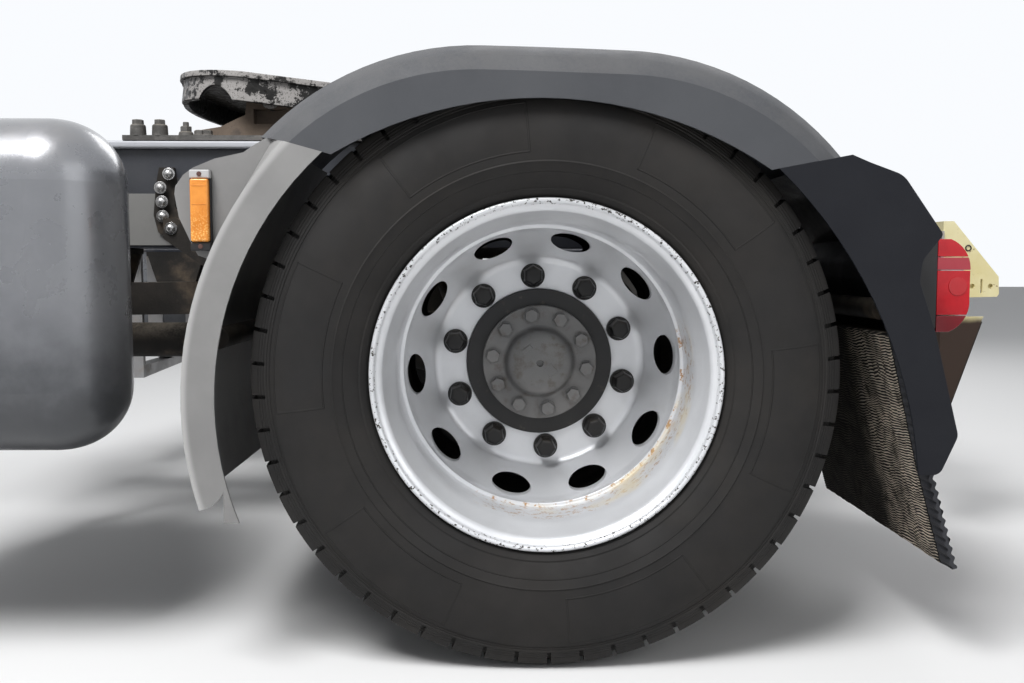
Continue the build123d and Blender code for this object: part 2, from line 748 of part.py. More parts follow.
def shell_solid(outer, ridge, base, wall):
    """A closed body under the outer curve, rounded over to the ridge at the outside."""
    face = guard_outside - wall
    with BuildPart() as body:
        with BuildSketch(side_view(face - shoulder[0][0])):
            make_face(closed_under(outer, base))
        extrude(amount=face - shoulder[0][0] - guard_inside + wall)
        for depth, share in shoulder:
            with BuildSketch(side_view(face - depth)):
                make_face(closed_under(blend(outer, ridge, share), base))
        loft(ruled=True)
        with BuildSketch(side_view(face)):
            make_face(closed_under(ridge, base))
        extrude(amount=shoulder[-1][0])
    return body.part


lip_centre = (-3, -38)
lip_radius = 546
ridge_radius = 600
top_lip_centre = (13.6, -216.5)
top_lip_radius = 669.5


def about_lip(radius, turn):
    return (lip_centre[0] + radius * sin(radians(turn)), lip_centre[1] + radius * cos(radians(turn)))


# the seams run from under the guards out past them
seam_front = (about_lip(ridge_radius - 66.4, 41.3), about_lip(ridge_radius + 88.7, 49.4))
seam_rear = ((-360, 340), (-540, 374))
past_front = ridge_radius + 100
past_rear = -past_front
arch_base = [(400, 150), (-400, 150)]
with BuildPart() as guard_top:
    add(shell_solid(arch(crown_radius), arch(crown_radius - crown_bevel), arch_base, 0))
    add(shell_solid(arch(crown_radius - guard_wall), arch(crown_radius - crown_bevel - guard_wall),
                    arch_base, guard_wall), mode=Mode.SUBTRACT)
    with BuildSketch(side_view(guard_outside + 1)):
        with Locations(top_lip_centre):
            Circle(top_lip_radius)
    extrude(amount=20, mode=Mode.SUBTRACT)
    with BuildSketch(side_view(guard_outside + 1)):
        with BuildLine():
            Polyline(seam_rear[1], seam_rear[0], (0, arch_base[0][1]), seam_front[0], seam_front[1],
                     (past_front, seam_front[1][1]), (past_front, 0), (past_rear, 0), (past_rear, seam_rear[1][1]),
                     close=True)
        make_face()
    extrude(amount=guard_outside + 2 - guard_inside, mode=Mode.SUBTRACT)
save_both(guard_top.part, "mudguard_top")

def towards(points, centre, distance):
    """The points moved towards a centre."""
    moved = []
    for x, y in points:
        run = Vector(centre[0] - x, centre[1] - y)
        moved.append((x + run.X / run.length * distance, y + run.Y / run.length * distance))
    return moved


# columns: distance beyond the ridge, turn about the lip's centre
front_curve = [(18, 109), (8, 89), (12, 72), (12, 64), (14, 56), (26, 51), (52, 42.8)]
front_outer = [about_lip(ridge_radius + beyond, turn) for beyond, turn in front_curve]
front_ridge = [about_lip(ridge_radius, turn) for turn in (109, 89, 71, 63, 54, 47, 40)]
front_base = [(200, 450), (200, front_outer[0][1])]
fin_plane = guard_outside - 42
# columns: distance beyond the ridge, turn about the lip's centre
fin_curve = [(-11, 67.2), (26, 67.4), (49, 65.7), (79, 63.5), (102, 61), (107, 60), (105, 58.2), (98, 56.7), (77, 54),
             (46, 50.8), (41, 49.2), (30, 46), (-27, 44.6)]
fin_outline = [about_lip(ridge_radius + beyond, turn) for beyond, turn in fin_curve]
fin_depth = 46
foot_bottom = -213
foot_rise = 30
foot_half = 46
foot_middle = lip_centre[0] + ridge_radius - 20
open_drop = 30
inner_outer = towards(front_outer, lip_centre, guard_wall)
inner_ridge = towards(front_ridge, lip_centre, guard_wall)
inner_outer[0] = (inner_outer[0][0], inner_outer[0][1] - open_drop)
inner_ridge[0] = (inner_ridge[0][0], inner_ridge[0][1] - open_drop)
inner_base = [(190, 450), (190, front_outer[0][1] - open_drop)]
front_hollow = shell_solid(inner_outer, inner_ridge, inner_base, guard_wall)
with BuildPart() as guard_front:
    add(shell_solid(front_outer, front_ridge, front_base, 0))
    with BuildSketch(side_view(fin_plane)):
        with BuildLine():
            Polyline(*fin_outline, close=True)
        make_face()
    extrude(amount=guard_wall)
    with BuildSketch(side_view(fin_plane)):
        with BuildLine():
            Polyline(*fin_outline, close=True)
        make_face()
        offset(amount=-guard_wall, mode=Mode.SUBTRACT)
    extrude(amount=fin_depth)
    add(front_hollow, mode=Mode.SUBTRACT)
    with BuildSketch(side_view(guard_outside + 1)):
        with Locations(lip_centre):
            Circle(lip_radius)
    extrude(amount=70, mode=Mode.SUBTRACT)
    with BuildSketch(side_view(guard_outside + 1)):
        with BuildLine():
            foot = ThreePointArc((foot_middle + foot_half, foot_bottom + foot_rise), (foot_middle, foot_bottom),
                                 (foot_middle - foot_half, foot_bottom + foot_rise))
            Polyline(foot @ 1, (foot_middle - foot_half, foot_bottom - 100), (foot_middle + foot_half, foot_bottom - 100),
                     foot @ 0)
        make_face()
    extrude(amount=guard_outside + 2 - guard_inside, mode=Mode.SUBTRACT)
    with BuildSketch(side_view(guard_outside + 1)):
        with BuildLine():
            Polyline((100, crown_radius), seam_front[0], seam_front[1], (past_front, seam_front[1][1]),
                     (past_front, past_front), (100, past_front), close=True)
        make_face()
    extrude(amount=guard_outside + 2 - guard_inside, mode=Mode.SUBTRACT)
save_both(guard_front.part, "mudguard_front")

# rear mudguard: a deep panel with a notch for the lamp
rear_lip_centre = (165, -225)
rear_lip_radius = 780
lamp_notch = [(-642, 236), (-609, 195), (-605, 160), (-634, 75)]
# columns: corner, corner radius
rear_outline = [(-400, 402), (-519, 352), (-574, 332), lamp_notch[0], lamp_notch[1], lamp_notch[2], lamp_notch[3],
                (-677, -95), (-648, -160), (-300, -160)]
rear_radii = [40, 40, 8, 30, 20, 60, 22, 18]
rear_middle = (rear_outline[-1][0] + rear_outline[-2][0]) / 2


def rear_region():
    """The rear mudguard's side outline, closed ahead of its lip."""
    with BuildLine() as outline:
        path = FilletPolyline(*rear_outline, radius=rear_radii)
        Polyline(path @ 1, (rear_outline[-1][0], rear_outline[0][1]), path @ 0)
    return outline.line.edges()


# the space inside the rear mudguard, open below and ahead
with BuildPart() as rear_hollow:
    with BuildSketch(side_view(guard_outside - guard_wall)):
        make_face(rear_region())
        offset(amount=-guard_wall)
        with Locations((rear_middle, rear_outline[-1][1])):
            Rectangle(rear_outline[-1][0] - rear_outline[-2][0] - 2 * guard_wall, open_drop)
        with Locations((rear_outline[-1][0], rear_outline[0][1])):
            Rectangle(open_drop, 2 * (rear_outline[0][1] - rear_outline[-1][1]))
    extrude(amount=guard_outside - guard_inside)

with BuildPart() as guard_rear:
    with BuildSketch(side_view(guard_outside)):
        make_face(rear_region())
    extrude(amount=guard_outside - guard_inside)
    add(rear_hollow.part, mode=Mode.SUBTRACT)
    with BuildSketch(side_view(guard_outside + 1)):
        with Locations(rear_lip_centre):
            Circle(rear_lip_radius)
    extrude(amount=20, mode=Mode.SUBTRACT)
    with BuildSketch(side_view(guard_outside + 1)):
        with BuildLine():
            Polyline((-100, crown_radius), seam_rear[0], seam_rear[1], (past_rear, seam_rear[1][1]),
                     (past_rear, past_front), (-100, past_front), close=True)
        make_face()
    extrude(amount=guard_outside + 2 - guard_inside, mode=Mode.SUBTRACT)
save_both(guard_rear.part, "mudguard_rear")

# spray flaps behind the wheels
flap_wall = 8
flap_outside = guard_outside - 18
flap_width = flap_outside - guard_inside - 8
flap_line = [(-578, 68), (-590, 20), (-628, -140), (-680, -326)]
flap_back = [(x - flap_wall, z + 2) for x, z in flap_line]
with BuildPart() as flap:
    with BuildSketch(side_view(flap_outside)):
        with BuildLine():
            Polyline(*flap_line, *reversed(flap_back), close=True)
        make_face()
    extrude(amount=flap_width)
save_both(flap.part, "mudflaps")

# arms from the frame to the mudguards: two under the top one, one low in each of the others
arm_tube = 19
arm_gap = 0.5
arm_end = guard_outside - shoulder[0][0]
strut_wall = 14
strut_outside = 440
bracket_plate_wall = 12
arm_reach = crown_radius - guard_wall - arm_tube - arm_gap
front_arm = Vector(crown_front) + Vector(polar(arm_reach, 30))
rear_arm = Vector(crown_rear) + Vector(polar(arm_reach, -32))
low_front_arm = about_lip(ridge_radius - 22, 80.2)
low_rear_arm = (lamp_notch[2][0] + 14, lamp_notch[2][1] - 50)
# bracket on the rail's web ahead of the front mudguard, and its bolts
bracket_outline = [(910, 386), (902, 425), (866, 425), (862, 386), (866, 331), (852, 310), (842, 251), (885, 251),
                   (908, 268), (918, 310)]
bracket_bolts = [(902, 376), (899, 343), (898, 307), (878, 277), (882, 410)]
bracket_bolt_radius = 10
front_strut = [(885, 300), (885, 251), (low_front_arm[0] + arm_tube, low_front_arm[1] - arm_tube),
               (low_front_arm[0] - arm_tube, low_front_arm[1] + arm_tube), (850, 300)]
rear_strut = [(low_rear_arm[0] - 30, low_rear_arm[1] - 30), (low_rear_arm[0] + 30, low_rear_arm[1] - 30),
              (low_rear_arm[0] + 30, rail_bottom + 100), (low_rear_arm[0] - 30, rail_bottom + 100)]


def guard_pads(x, height, reach, hollow):
    """Pads from a low arm's tube out to the inner surface of its mudguard."""
    with BuildPart() as pads:
        for outside in (arm_end, guard_inside + 100):
            with BuildSketch(side_view(outside)):
                with Locations((x + reach / 2, height)):
                    Rectangle(abs(reach), 2 * arm_tube)
            extrude(amount=60)
        add(hollow, mode=Mode.INTERSECT)
    return pads.part


with BuildPart() as guard_arm:
    for x, height in ((front_arm.X, front_arm.Y), (rear_arm.X, rear_arm.Y)):
        with BuildSketch(side_view(arm_end)):
            with Locations((x, height)):
                Circle(arm_tube)
        extrude(amount=arm_end - half_frame)
    for x, height in (low_front_arm, low_rear_arm):
        with BuildSketch(side_view(arm_end)):
            with Locations((x, height)):
                Circle(arm_tube)
        extrude(amount=arm_end - strut_outside + strut_wall)
    for outline in (front_strut, rear_strut):
        with BuildSketch(side_view(strut_outside)):
            with BuildLine():
                Polyline(*outline, close=True)
            make_face()
        extrude(amount=strut_wall)
    with BuildSketch(side_view(strut_outside)):
        with Locations((868, 275), (low_rear_arm[0], rail_bottom + 60)):
            Rectangle(34, 44)
    extrude(amount=strut_outside - half_frame)
    with BuildSketch(side_view(half_frame + bracket_plate_wall)):
        with BuildLine():
            Polyline(*bracket_outline, close=True)
        make_face()
    extrude(amount=bracket_plate_wall)
    with BuildSketch(side_view(half_frame + bracket_plate_wall + 14)):
        with Locations(*bracket_bolts):
            Circle(bracket_bolt_radius)
    extrude(amount=14)
    add(guard_pads(*low_front_arm, 90, front_hollow))
    add(guard_pads(*low_rear_arm, -90, rear_hollow.part))
save_both(guard_arm.part, "mudguard_arms")

# clamps that hold the flaps against the rear mudguards
with BuildPart() as clamp:
    with BuildSketch(side_view(flap_outside - 20)):
        with BuildLine():
            Polyline(flap_back[0], flap_back[1], (-720, flap_back[1][1]), (-720, flap_back[0][1]), close=True)
        make_face()
    extrude(amount=flap_width - 40)
    add(rear_hollow.part, mode=Mode.INTERSECT)
save_both(clamp.part, "flap_clamps")

# side marker lamps on the front mudguards' fins
marker_x, marker_z = about_lip(ridge_radius + 49.6, 61.15)
marker_width = 33
marker_length = 131
marker_lens_length = 103
with BuildPart() as marker_body:
    with BuildSketch(side_view(fin_plane + 16)):
        with Locations((marker_x, marker_z)):
            RectangleRounded(marker_width, marker_length, 5)
            Rectangle(marker_width + 2, marker_lens_length, mode=Mode.SUBTRACT)
    extrude(amount=16)
    with BuildSketch(side_view(fin_plane + 4)):
        with Locations((marker_x, marker_z)):
            RectangleRounded(marker_width, marker_length, 5)
    extrude(amount=4)
save_both(marker_body.part, "marker_lamp_bodies")
with BuildPart() as marker_lens:
    with BuildSketch(side_view(fin_plane + 20)):
        with Locations((marker_x, marker_z)):
            Rectangle(marker_width - 2, marker_lens_length)
    extrude(amount=16)
    fillet(marker_lens.faces().sort_by(Axis.Y)[-1].edges(), 4)
save_both(marker_lens.part, "marker_lamp_lenses")

# tail lamps on the rear mudguards
lamp_outside = guard_outside - 143
lamp_width = 450
lamp_bottom = 68
lamp_top = 233
lamp_face = -757
lens_turn = 36
lens_rise = 60
lamp_joint = -698
with BuildPart() as tail_body:
    with BuildSketch(side_view(lamp_outside)):
        with BuildLine():
            Polyline(*lamp_notch, (lamp_joint, lamp_bottom + 6), (lamp_joint, lamp_top - 3), close=True)
        make_face()
    extrude(amount=lamp_width)
    with BuildSketch(side_view(lamp_outside)):
        make_face(rear_region())
    extrude(amount=lamp_width, mode=Mode.SUBTRACT)
save_both(tail_body.part, "tail_lamp_bodies")
with BuildPart() as tail_lens:
    with BuildSketch(side_view(lamp_outside)):
        with BuildLine():
            flat = Line((lamp_joint, lamp_top), (lamp_joint, lamp_bottom))
            under = Line(flat @ 1, (lamp_face + lens_turn, lamp_bottom))
            low = ThreePointArc(under @ 1, (lamp_face + lens_turn / 3.5, lamp_bottom + lens_rise / 3),
                                (lamp_face, lamp_bottom + lens_rise))
            back = Line(low @ 1, (lamp_face, lamp_top - lens_rise))
            high = ThreePointArc(back @ 1, (lamp_face + lens_turn / 3.5, lamp_top - lens_rise / 3),
                                 (lamp_face + lens_turn, lamp_top))
            Line(high @ 1, flat @ 0)
        make_face()
    extrude(amount=lamp_width)
save_both(tail_lens.part, "tail_lamp_lenses")

# side tanks ahead of the wheels, with all edges well rounded and the rear ends raked
tank_front = 1390
tank_rear = 708
tank_rake = 206
tank_outside = 1240
tank_inside = 600
tank_top = 437
tank_bottom = -136
tank_corner = 120
tank_edge = 112
tank_middle = ((tank_outside + tank_inside) / 2, (tank_top + tank_bottom) / 2)
tank_size = (tank_outside - tank_inside, tank_top - tank_bottom)
with BuildPart() as tank:
    with BuildSketch(top_view(tank_bottom)):
        with BuildLine():
            FilletPolyline((tank_rear - 30, tank_outside), (tank_front, tank_outside), (tank_front, tank_inside),
                           (tank_rear + tank_rake, tank_inside), radius=tank_corner, close=True)
        make_face()
    extrude(amount=tank_size[1])
    fillet(tank.faces().sort_by(Axis.Z)[0].edges() + tank.faces().sort_by(Axis.Z)[-1].edges(), tank_edge)
save_both(tank.part, "side_tanks")

# brackets and straps of the tanks
strap_wall = 4
strap_width = 50
bracket_places = (1040, 1230)
bracket_wall = 20
strap_foot = tank_bottom - strap_wall
bracket_foot = strap_foot - 40
with BuildPart() as tank_bracket:
    for x in bracket_places:
        with BuildSketch(end_view(x)):
            with Locations(tank_middle):
                RectangleRounded(tank_size[0] + 2 * strap_wall, tank_size[1] + 2 * strap_wall,
                                 tank_edge + strap_wall)
                RectangleRounded(*tank_size, tank_edge, mode=Mode.SUBTRACT)
        extrude(amount=strap_width)
        with BuildSketch(end_view(x)):
            with Locations((half_frame + bracket_wall / 2, (rail_top - 20 + bracket_foot) / 2)):
                Rectangle(bracket_wall, rail_top - 20 - bracket_foot)
            with BuildLine():
                Polyline((half_frame, bracket_foot), (tank_outside - 180, bracket_foot + 20),
                         (tank_outside - 180, strap_foot), (tank_inside + tank_edge, strap_foot),
                         (half_frame, strap_foot), close=True)
            make_face()
        extrude(amount=strap_width)
save_both(tank_bracket.part, "tank_brackets")

# wheel chock, stood on its tip in a holder at the tail of the left rail
chock_width = 160
chock_outside = half_frame + 75
chock_top = 294
chock_length = 464
chock_height = 142
chock_wall = 8
holder_wall = 6
holder_height = 190
holder_drop = 50
holder_ear = 56
holder_foot = tail_top - holder_drop - holder_height
chock_face = rail_tail - holder_wall
chock_tip = chock_top - chock_length
# columns: share of the chock's height out from its base, share of its length up from its tip
chock_shape = [(0, 0), (0, 1), (0.18, 1), (0.985, 0.71), (1, 0.62), (0.73, 0.49), (0.17, 0)]
chock_mouth = [(1.1, 0.62), (0.74, 0.43), (0.3, 0.47), (0.3, 0.62), (0.92, 0.655)]
flange_mouth = [(1.1, 0.605), (0.3, 0.6), (0.3, 0.5), (1.1, 0.5)]
chock_holes = [(0.53, 0.66), (0.845, 0.66)]


def chock_point(share):
    return (chock_face - share[0] * chock_height, chock_tip + share[1] * chock_length)


with BuildPart() as chock:
    with BuildSketch(side_view(chock_outside)):
        with BuildLine():
            Polyline(*[chock_point(share) for share in chock_shape], close=True)
        make_face()
    extrude(amount=chock_width)
    with BuildSketch(side_view(chock_outside - chock_wall)):
        with BuildLine():
            Polyline(*[chock_point(share) for share in chock_mouth], close=True)
        make_face()
    extrude(amount=chock_width - 2 * chock_wall, mode=Mode.SUBTRACT)
    with BuildSketch(side_view(chock_outside)):
        with BuildLine():
            Polyline(*[chock_point(share) for share in flange_mouth], close=True)
        make_face()
    extrude(amount=chock_width, mode=Mode.SUBTRACT)
    with BuildSketch(side_view(chock_outside)):
        with Locations(*[chock_point(share) for share in chock_holes]):
            Circle(6)
        with Locations(chock_point((0.69, 0.66))):
            Rectangle(5, 34)
    extrude(amount=chock_wall, mode=Mode.SUBTRACT)
save(chock.part, "wheel_chock")
with BuildPart() as holder:
    with BuildSketch(side_view(chock_outside + holder_wall)):
        with Locations((chock_face + holder_wall / 2, holder_foot + holder_height / 2)):
            Rectangle(holder_wall, holder_height)
    extrude(amount=chock_width + 2 * holder_wall)
    for outside in (chock_outside + holder_wall, chock_outside - chock_width):
        with BuildSketch(side_view(outside)):
            with Locations((chock_face + holder_wall - holder_ear / 2, holder_foot + holder_ear)):
                Rectangle(holder_ear, 2 * holder_ear)
        extrude(amount=holder_wall)
    with BuildSketch(side_view(half_frame + holder_wall)):
        with Locations((rail_tail + tail_height / 2, rail_bottom + 30)):
            Rectangle(tail_height, 60)
    extrude(amount=holder_wall)
save(holder.part, "chock_holder")

# drive wheels: twin rims on one hub each side
# columns: axial distance from the rim's middle, radius; tyre side, then the open side
rim_edge = rim_width / 2 + flange_width
seat_run = 84
seat_inner_radius = seat_radius - 8.1
drop_radius = well_radius - rim_wall
barrel_outside = [(rim_edge, flange_radius), (rim_width / 2 + 2, flange_radius), (rim_width / 2, seat_radius),
                  (seat_run, seat_inner_radius), (50, well_radius), (-70, well_radius), (-seat_run, seat_inner_radius),
                  (-rim_width / 2, seat_radius), (-rim_width / 2 - 2, flange_radius), (-rim_edge, flange_radius)]
barrel_inside = [(-rim_edge, flange_radius - 8), (-rim_width / 2 - 4, seat_radius - rim_wall),
                 (-seat_run - 2, seat_inner_radius - rim_wall), (-72, drop_radius), (50, drop_radius),
                 (seat_run - 2, seat_inner_radius - rim_wall), (rim_width / 2 + 4, seat_radius - rim_wall),
                 (rim_edge, flange_radius - 8)]


def rim(plane, outward, disc_inner):
    """A rim whose barrel lies about a plane, with its dished disc on the side of the mating plane."""
    with BuildPart() as built:
        with BuildSketch(wheel_section):
            with BuildLine():
                Polyline(*[(plane + outward * x, r) for x, r in barrel_outside + barrel_inside], close=True)
            make_face()
            with BuildLine():
                face = disc_inner + outward * disc_wall
                Polyline((disc_inner, spigot_radius + spigot_gap), (face, spigot_radius + spigot_gap),
                         (face, disc_flat_radius - 6), (plane - outward * disc_cone_run, drop_radius - rim_wall),
                         (plane - outward * disc_lap, drop_radius - rim_wall),
                         (plane - outward * disc_lap, drop_radius),
                         (plane - outward * (disc_cone_run + 6), drop_radius), (disc_inner, disc_flat_radius + 2),
                         close=True)
            make_face()
        revolve(axis=wheel_axis)
        with BuildSketch(side_view(plane + rim_width)):
            with PolarLocations(hand_hole_circle, nut_count, start_angle=90 - nut_turn - 180 / nut_count):
                Ellipse(hand_hole_height / 2, hand_hole_width / 2)
        extrude(amount=2 * rim_width, mode=Mode.SUBTRACT)
    return built.part


save_sides(rim(outer_rim_plane, 1, mating_plane), "rim_outer")
save_sides(rim(inner_rim_plane, -1, mating_plane), "rim_inner")


def tyre_section(plane):
    """Section of a tyre, alike to both sides of its plane, with its beads on the rim's seats."""
    belly = tyre_width / 2
    crown = tyre_shoulder_width / 2
    bead = rim_width / 2
    bead_top = flange_radius + 2
    side = [(0, tyre_radius), (crown, tyre_shoulder_radius),
            (belly - 7, tyre_belly_radius + 0.57 * (tyre_shoulder_radius - tyre_belly_radius)),
            (belly, tyre_belly_radius), (belly - 11, bead_top + 0.38 * (tyre_belly_radius - bead_top)), (bead, bead_top),
            (bead, seat_radius), (seat_run, seat_inner_radius), (bead - bead_width, bead_top + 12),
            (belly - side_wall, tyre_belly_radius), (crown - 18, tyre_shoulder_radius - tread_wall)]
    with BuildLine() as outline:
        Polyline(*[(plane + x, r) for x, r in side], *[(plane - x, r) for x, r in reversed(side[1:])], close=True)
    return outline.line.edges()


with BuildPart() as tyres:
    with BuildSketch(wheel_section):
        make_face(tyre_section(outer_rim_plane))
        make_face(tyre_section(inner_rim_plane))
    revolve(axis=wheel_axis)
save_sides(tyres.part, "tyres")

with BuildPart() as hub:
    with BuildSketch(wheel_section):
        with BuildLine():
            disc_low = disc_brake_plane - disc_brake_wall / 2
            disc_high = disc_brake_plane + disc_brake_wall / 2
            seat = mating_plane - disc_wall
            bore = spindle_radius + running_gap
            Polyline((brake_flange_plane + 22, bore), (brake_flange_plane + 22, hub_barrel_radius),
                     (disc_low, hub_barrel_radius), (disc_low, disc_brake_radius), (disc_high, disc_brake_radius),
                     (disc_high, hub_barrel_radius), (seat - hub_flange_wall, hub_barrel_radius),
                     (seat - hub_flange_wall, hub_flange_radius), (seat, hub_flange_radius), (seat, spigot_radius),
                     (hub_face, spigot_radius), (hub_face, bore), close=True)
        make_face()
    revolve(axis=wheel_axis)
save_sides(hub.part, "hub")

with BuildPart() as shaft_flange:
    with BuildSketch(side_view(hub_face)):
        Circle(shaft_flange_radius)
    extrude(amount=-shaft_flange_wall)
    with BuildSketch(side_view(hub_face + shaft_flange_wall)):
        with PolarLocations(shaft_bolt_circle / 2, shaft_bolt_count, start_angle=4):
            RegularPolygon(shaft_bolt_radius, 6)
    extrude(amount=-shaft_bolt_height)
    with BuildSketch(side_view(hub_face + shaft_flange_wall)):
        Circle(cap_radius)
    extrude(amount=-cap_height)
    fillet(shaft_flange.faces().sort_by(Axis.Y)[-1].edges(), 12)
save_sides(shaft_flange.part, "shaft_flange")

nut_seat = mating_plane + disc_wall
with BuildPart() as nuts:
    with BuildSketch(side_view(nut_seat)):
        with PolarLocations(nut_circle / 2, nut_count, start_angle=90 - nut_turn):
            Circle(nut_radius + 5)
    extrude(amount=-12)
    with BuildSketch(side_view(nut_seat)):
        with PolarLocations(nut_circle / 2, nut_count, start_angle=90 - nut_turn):
            Circle(nut_radius)
    extrude(amount=-nut_height - 12)
save_sides(nuts.part, "wheel_nuts")
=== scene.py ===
# Rear end of a road tractor's chassis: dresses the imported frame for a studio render.
import json
import math

import bmesh
import bpy
from mathutils import Matrix, Vector, noise as fieldNoise


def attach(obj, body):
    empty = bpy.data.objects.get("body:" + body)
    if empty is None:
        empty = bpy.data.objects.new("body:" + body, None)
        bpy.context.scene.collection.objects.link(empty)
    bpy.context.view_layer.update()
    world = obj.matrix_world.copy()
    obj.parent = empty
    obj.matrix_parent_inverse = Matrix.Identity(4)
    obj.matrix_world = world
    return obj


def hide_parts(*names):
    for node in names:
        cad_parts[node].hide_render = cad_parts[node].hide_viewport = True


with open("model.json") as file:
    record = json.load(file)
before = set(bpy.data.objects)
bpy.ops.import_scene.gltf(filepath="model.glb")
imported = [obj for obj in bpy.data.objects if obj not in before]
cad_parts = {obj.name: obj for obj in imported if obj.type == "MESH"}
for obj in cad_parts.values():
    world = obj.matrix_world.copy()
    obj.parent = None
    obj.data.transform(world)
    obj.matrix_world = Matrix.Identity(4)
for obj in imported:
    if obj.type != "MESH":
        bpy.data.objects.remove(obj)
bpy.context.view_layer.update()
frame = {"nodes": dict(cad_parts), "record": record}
print("frame loaded")

# places that all the pieces share, in metres
axle = Vector((-1.48, 0.0, -0.36))
tyreRadius = 0.502
sides = {"left": 1, "right": -1}


# small helpers for shader trees
def addNode(tree, kind, **settings):
    node = tree.nodes.new(kind)
    for key, value in settings.items():
        setattr(node, key, value)
    return node


def feed(tree, socket, value):
    if isinstance(value, bpy.types.NodeSocket):
        tree.links.new(value, socket)
    elif value is not None:
        socket.default_value = value


def calc(tree, operation, a, b=None, c=None, clamp=False):
    node = addNode(tree, "ShaderNodeMath", operation=operation, use_clamp=clamp)
    for socket, value in zip(node.inputs, (a, b, c)):
        feed(tree, socket, value)
    return node.outputs[0]


def span(tree, value, low, high, toLow=0.0, toHigh=1.0):
    node = addNode(tree, "ShaderNodeMapRange", interpolation_type="SMOOTHSTEP")
    for name, given in (("Value", value), ("From Min", low), ("From Max", high),
                        ("To Min", toLow), ("To Max", toHigh)):
        feed(tree, node.inputs[name], given)
    return node.outputs["Result"]


def mixColour(tree, share, a, b, blend="MIX"):
    node = addNode(tree, "ShaderNodeMix", data_type="RGBA", blend_type=blend)
    feed(tree, node.inputs[0], share)
    feed(tree, node.inputs[6], a)
    feed(tree, node.inputs[7], b)
    return node.outputs[2]


def noise(tree, vector, scale, detail=4.0, rough=0.55):
    node = addNode(tree, "ShaderNodeTexNoise")
    feed(tree, node.inputs["Vector"], vector)
    feed(tree, node.inputs["Scale"], scale)
    node.inputs["Detail"].default_value = detail
    node.inputs["Roughness"].default_value = rough
    return node.outputs["Fac"]


def objectPoint(tree):
    return addNode(tree, "ShaderNodeTexCoord").outputs["Object"]


def coordinates(tree, vector=None):
    # the X, Y and Z of a vector, or else of the object's own point
    parts = addNode(tree, "ShaderNodeSeparateXYZ")
    feed(tree, parts.inputs[0], vector or objectPoint(tree))
    return parts.outputs


def product(tree, *values):
    result = values[0]
    for value in values[1:]:
        result = calc(tree, "MULTIPLY", result, value)
    return result


def inverse(tree, value):
    return calc(tree, "SUBTRACT", 1.0, value)


def distanceFrom(tree, point, centreX, centreZ):
    # how far a point lies from a line along Y
    x = calc(tree, "SUBTRACT", point["X"], centreX)
    z = calc(tree, "SUBTRACT", point["Z"], centreZ)
    return calc(tree, "SQRT", calc(tree, "ADD", product(tree, x, x), product(tree, z, z))), x, z


def newGroup(name, inputs, outputs):
    group = bpy.data.node_groups.new(name, "ShaderNodeTree")
    for label, kind, value in inputs:
        socket = group.interface.new_socket(label, in_out="INPUT", socket_type=kind)
        if value is not None:
            socket.default_value = value
    for label, kind in outputs:
        group.interface.new_socket(label, in_out="OUTPUT", socket_type=kind)
    return group, addNode(group, "NodeGroupInput").outputs, addNode(group, "NodeGroupOutput").inputs


def place(tree, group, **values):
    node = addNode(tree, "ShaderNodeGroup")
    node.node_tree = group
    for label, value in values.items():
        feed(tree, node.inputs[label], value)
    return node.outputs


floatSocket = "NodeSocketFloat"


def makeSpeckGroup():
    # small chips or spots: high where fine noise tops a threshold
    group, given, out = newGroup("specks", [("Scale", floatSocket, 60.0), ("Threshold", floatSocket, 0.6),
                                            ("Soft", floatSocket, 0.02)], [("Mask", floatSocket)])
    value = noise(group, objectPoint(group), given["Scale"], 5.0, 0.6)
    high = calc(group, "ADD", given["Threshold"], given["Soft"])
    feed(group, out["Mask"], span(group, value, given["Threshold"], high))
    return group


def makeCloudGroup():
    # broad uneven patches, for tint and dirt
    group, given, out = newGroup("clouds", [("Scale", floatSocket, 4.0), ("Low", floatSocket, 0.4),
                                            ("High", floatSocket, 0.6)], [("Mask", floatSocket)])
    value = noise(group, objectPoint(group), given["Scale"], 6.0, 0.6)
    feed(group, out["Mask"], span(group, value, given["Low"], given["High"]))
    return group


def makeDustGroup():
    # dust that settles on what faces up, broken by noise
    group, given, out = newGroup("settledDust", [("Amount", floatSocket, 0.5), ("Scale", floatSocket, 9.0)],
                                 [("Mask", floatSocket)])
    normal = addNode(group, "ShaderNodeNewGeometry").outputs["Normal"]
    facing = span(group, coordinates(group, normal)["Z"], -0.15, 0.95)
    patch = noise(group, objectPoint(group), given["Scale"], 6.0, 0.65)
    fine = noise(group, objectPoint(group), 180.0, 3.0, 0.6)
    broken = span(group, calc(group, "ADD", patch, product(group, fine, 0.35)), 0.45, 0.85)
    feed(group, out["Mask"], calc(group, "MULTIPLY", product(group, facing, broken), given["Amount"],
                                  clamp=True))
    return group


def makeWheelGroup():
    # distance from the drive axle, and turn about it in radians, forward from straight up
    group, given, out = newGroup("aboutAxle", [], [("Radius", floatSocket), ("Turn", floatSocket)])
    radius, x, z = distanceFrom(group, coordinates(group), axle.x, axle.z)
    feed(group, out["Radius"], radius)
    feed(group, out["Turn"], calc(group, "ARCTAN2", x, z))
    return group


specks = makeSpeckGroup()
clouds = makeCloudGroup()
settledDust = makeDustGroup()
aboutAxle = makeWheelGroup()


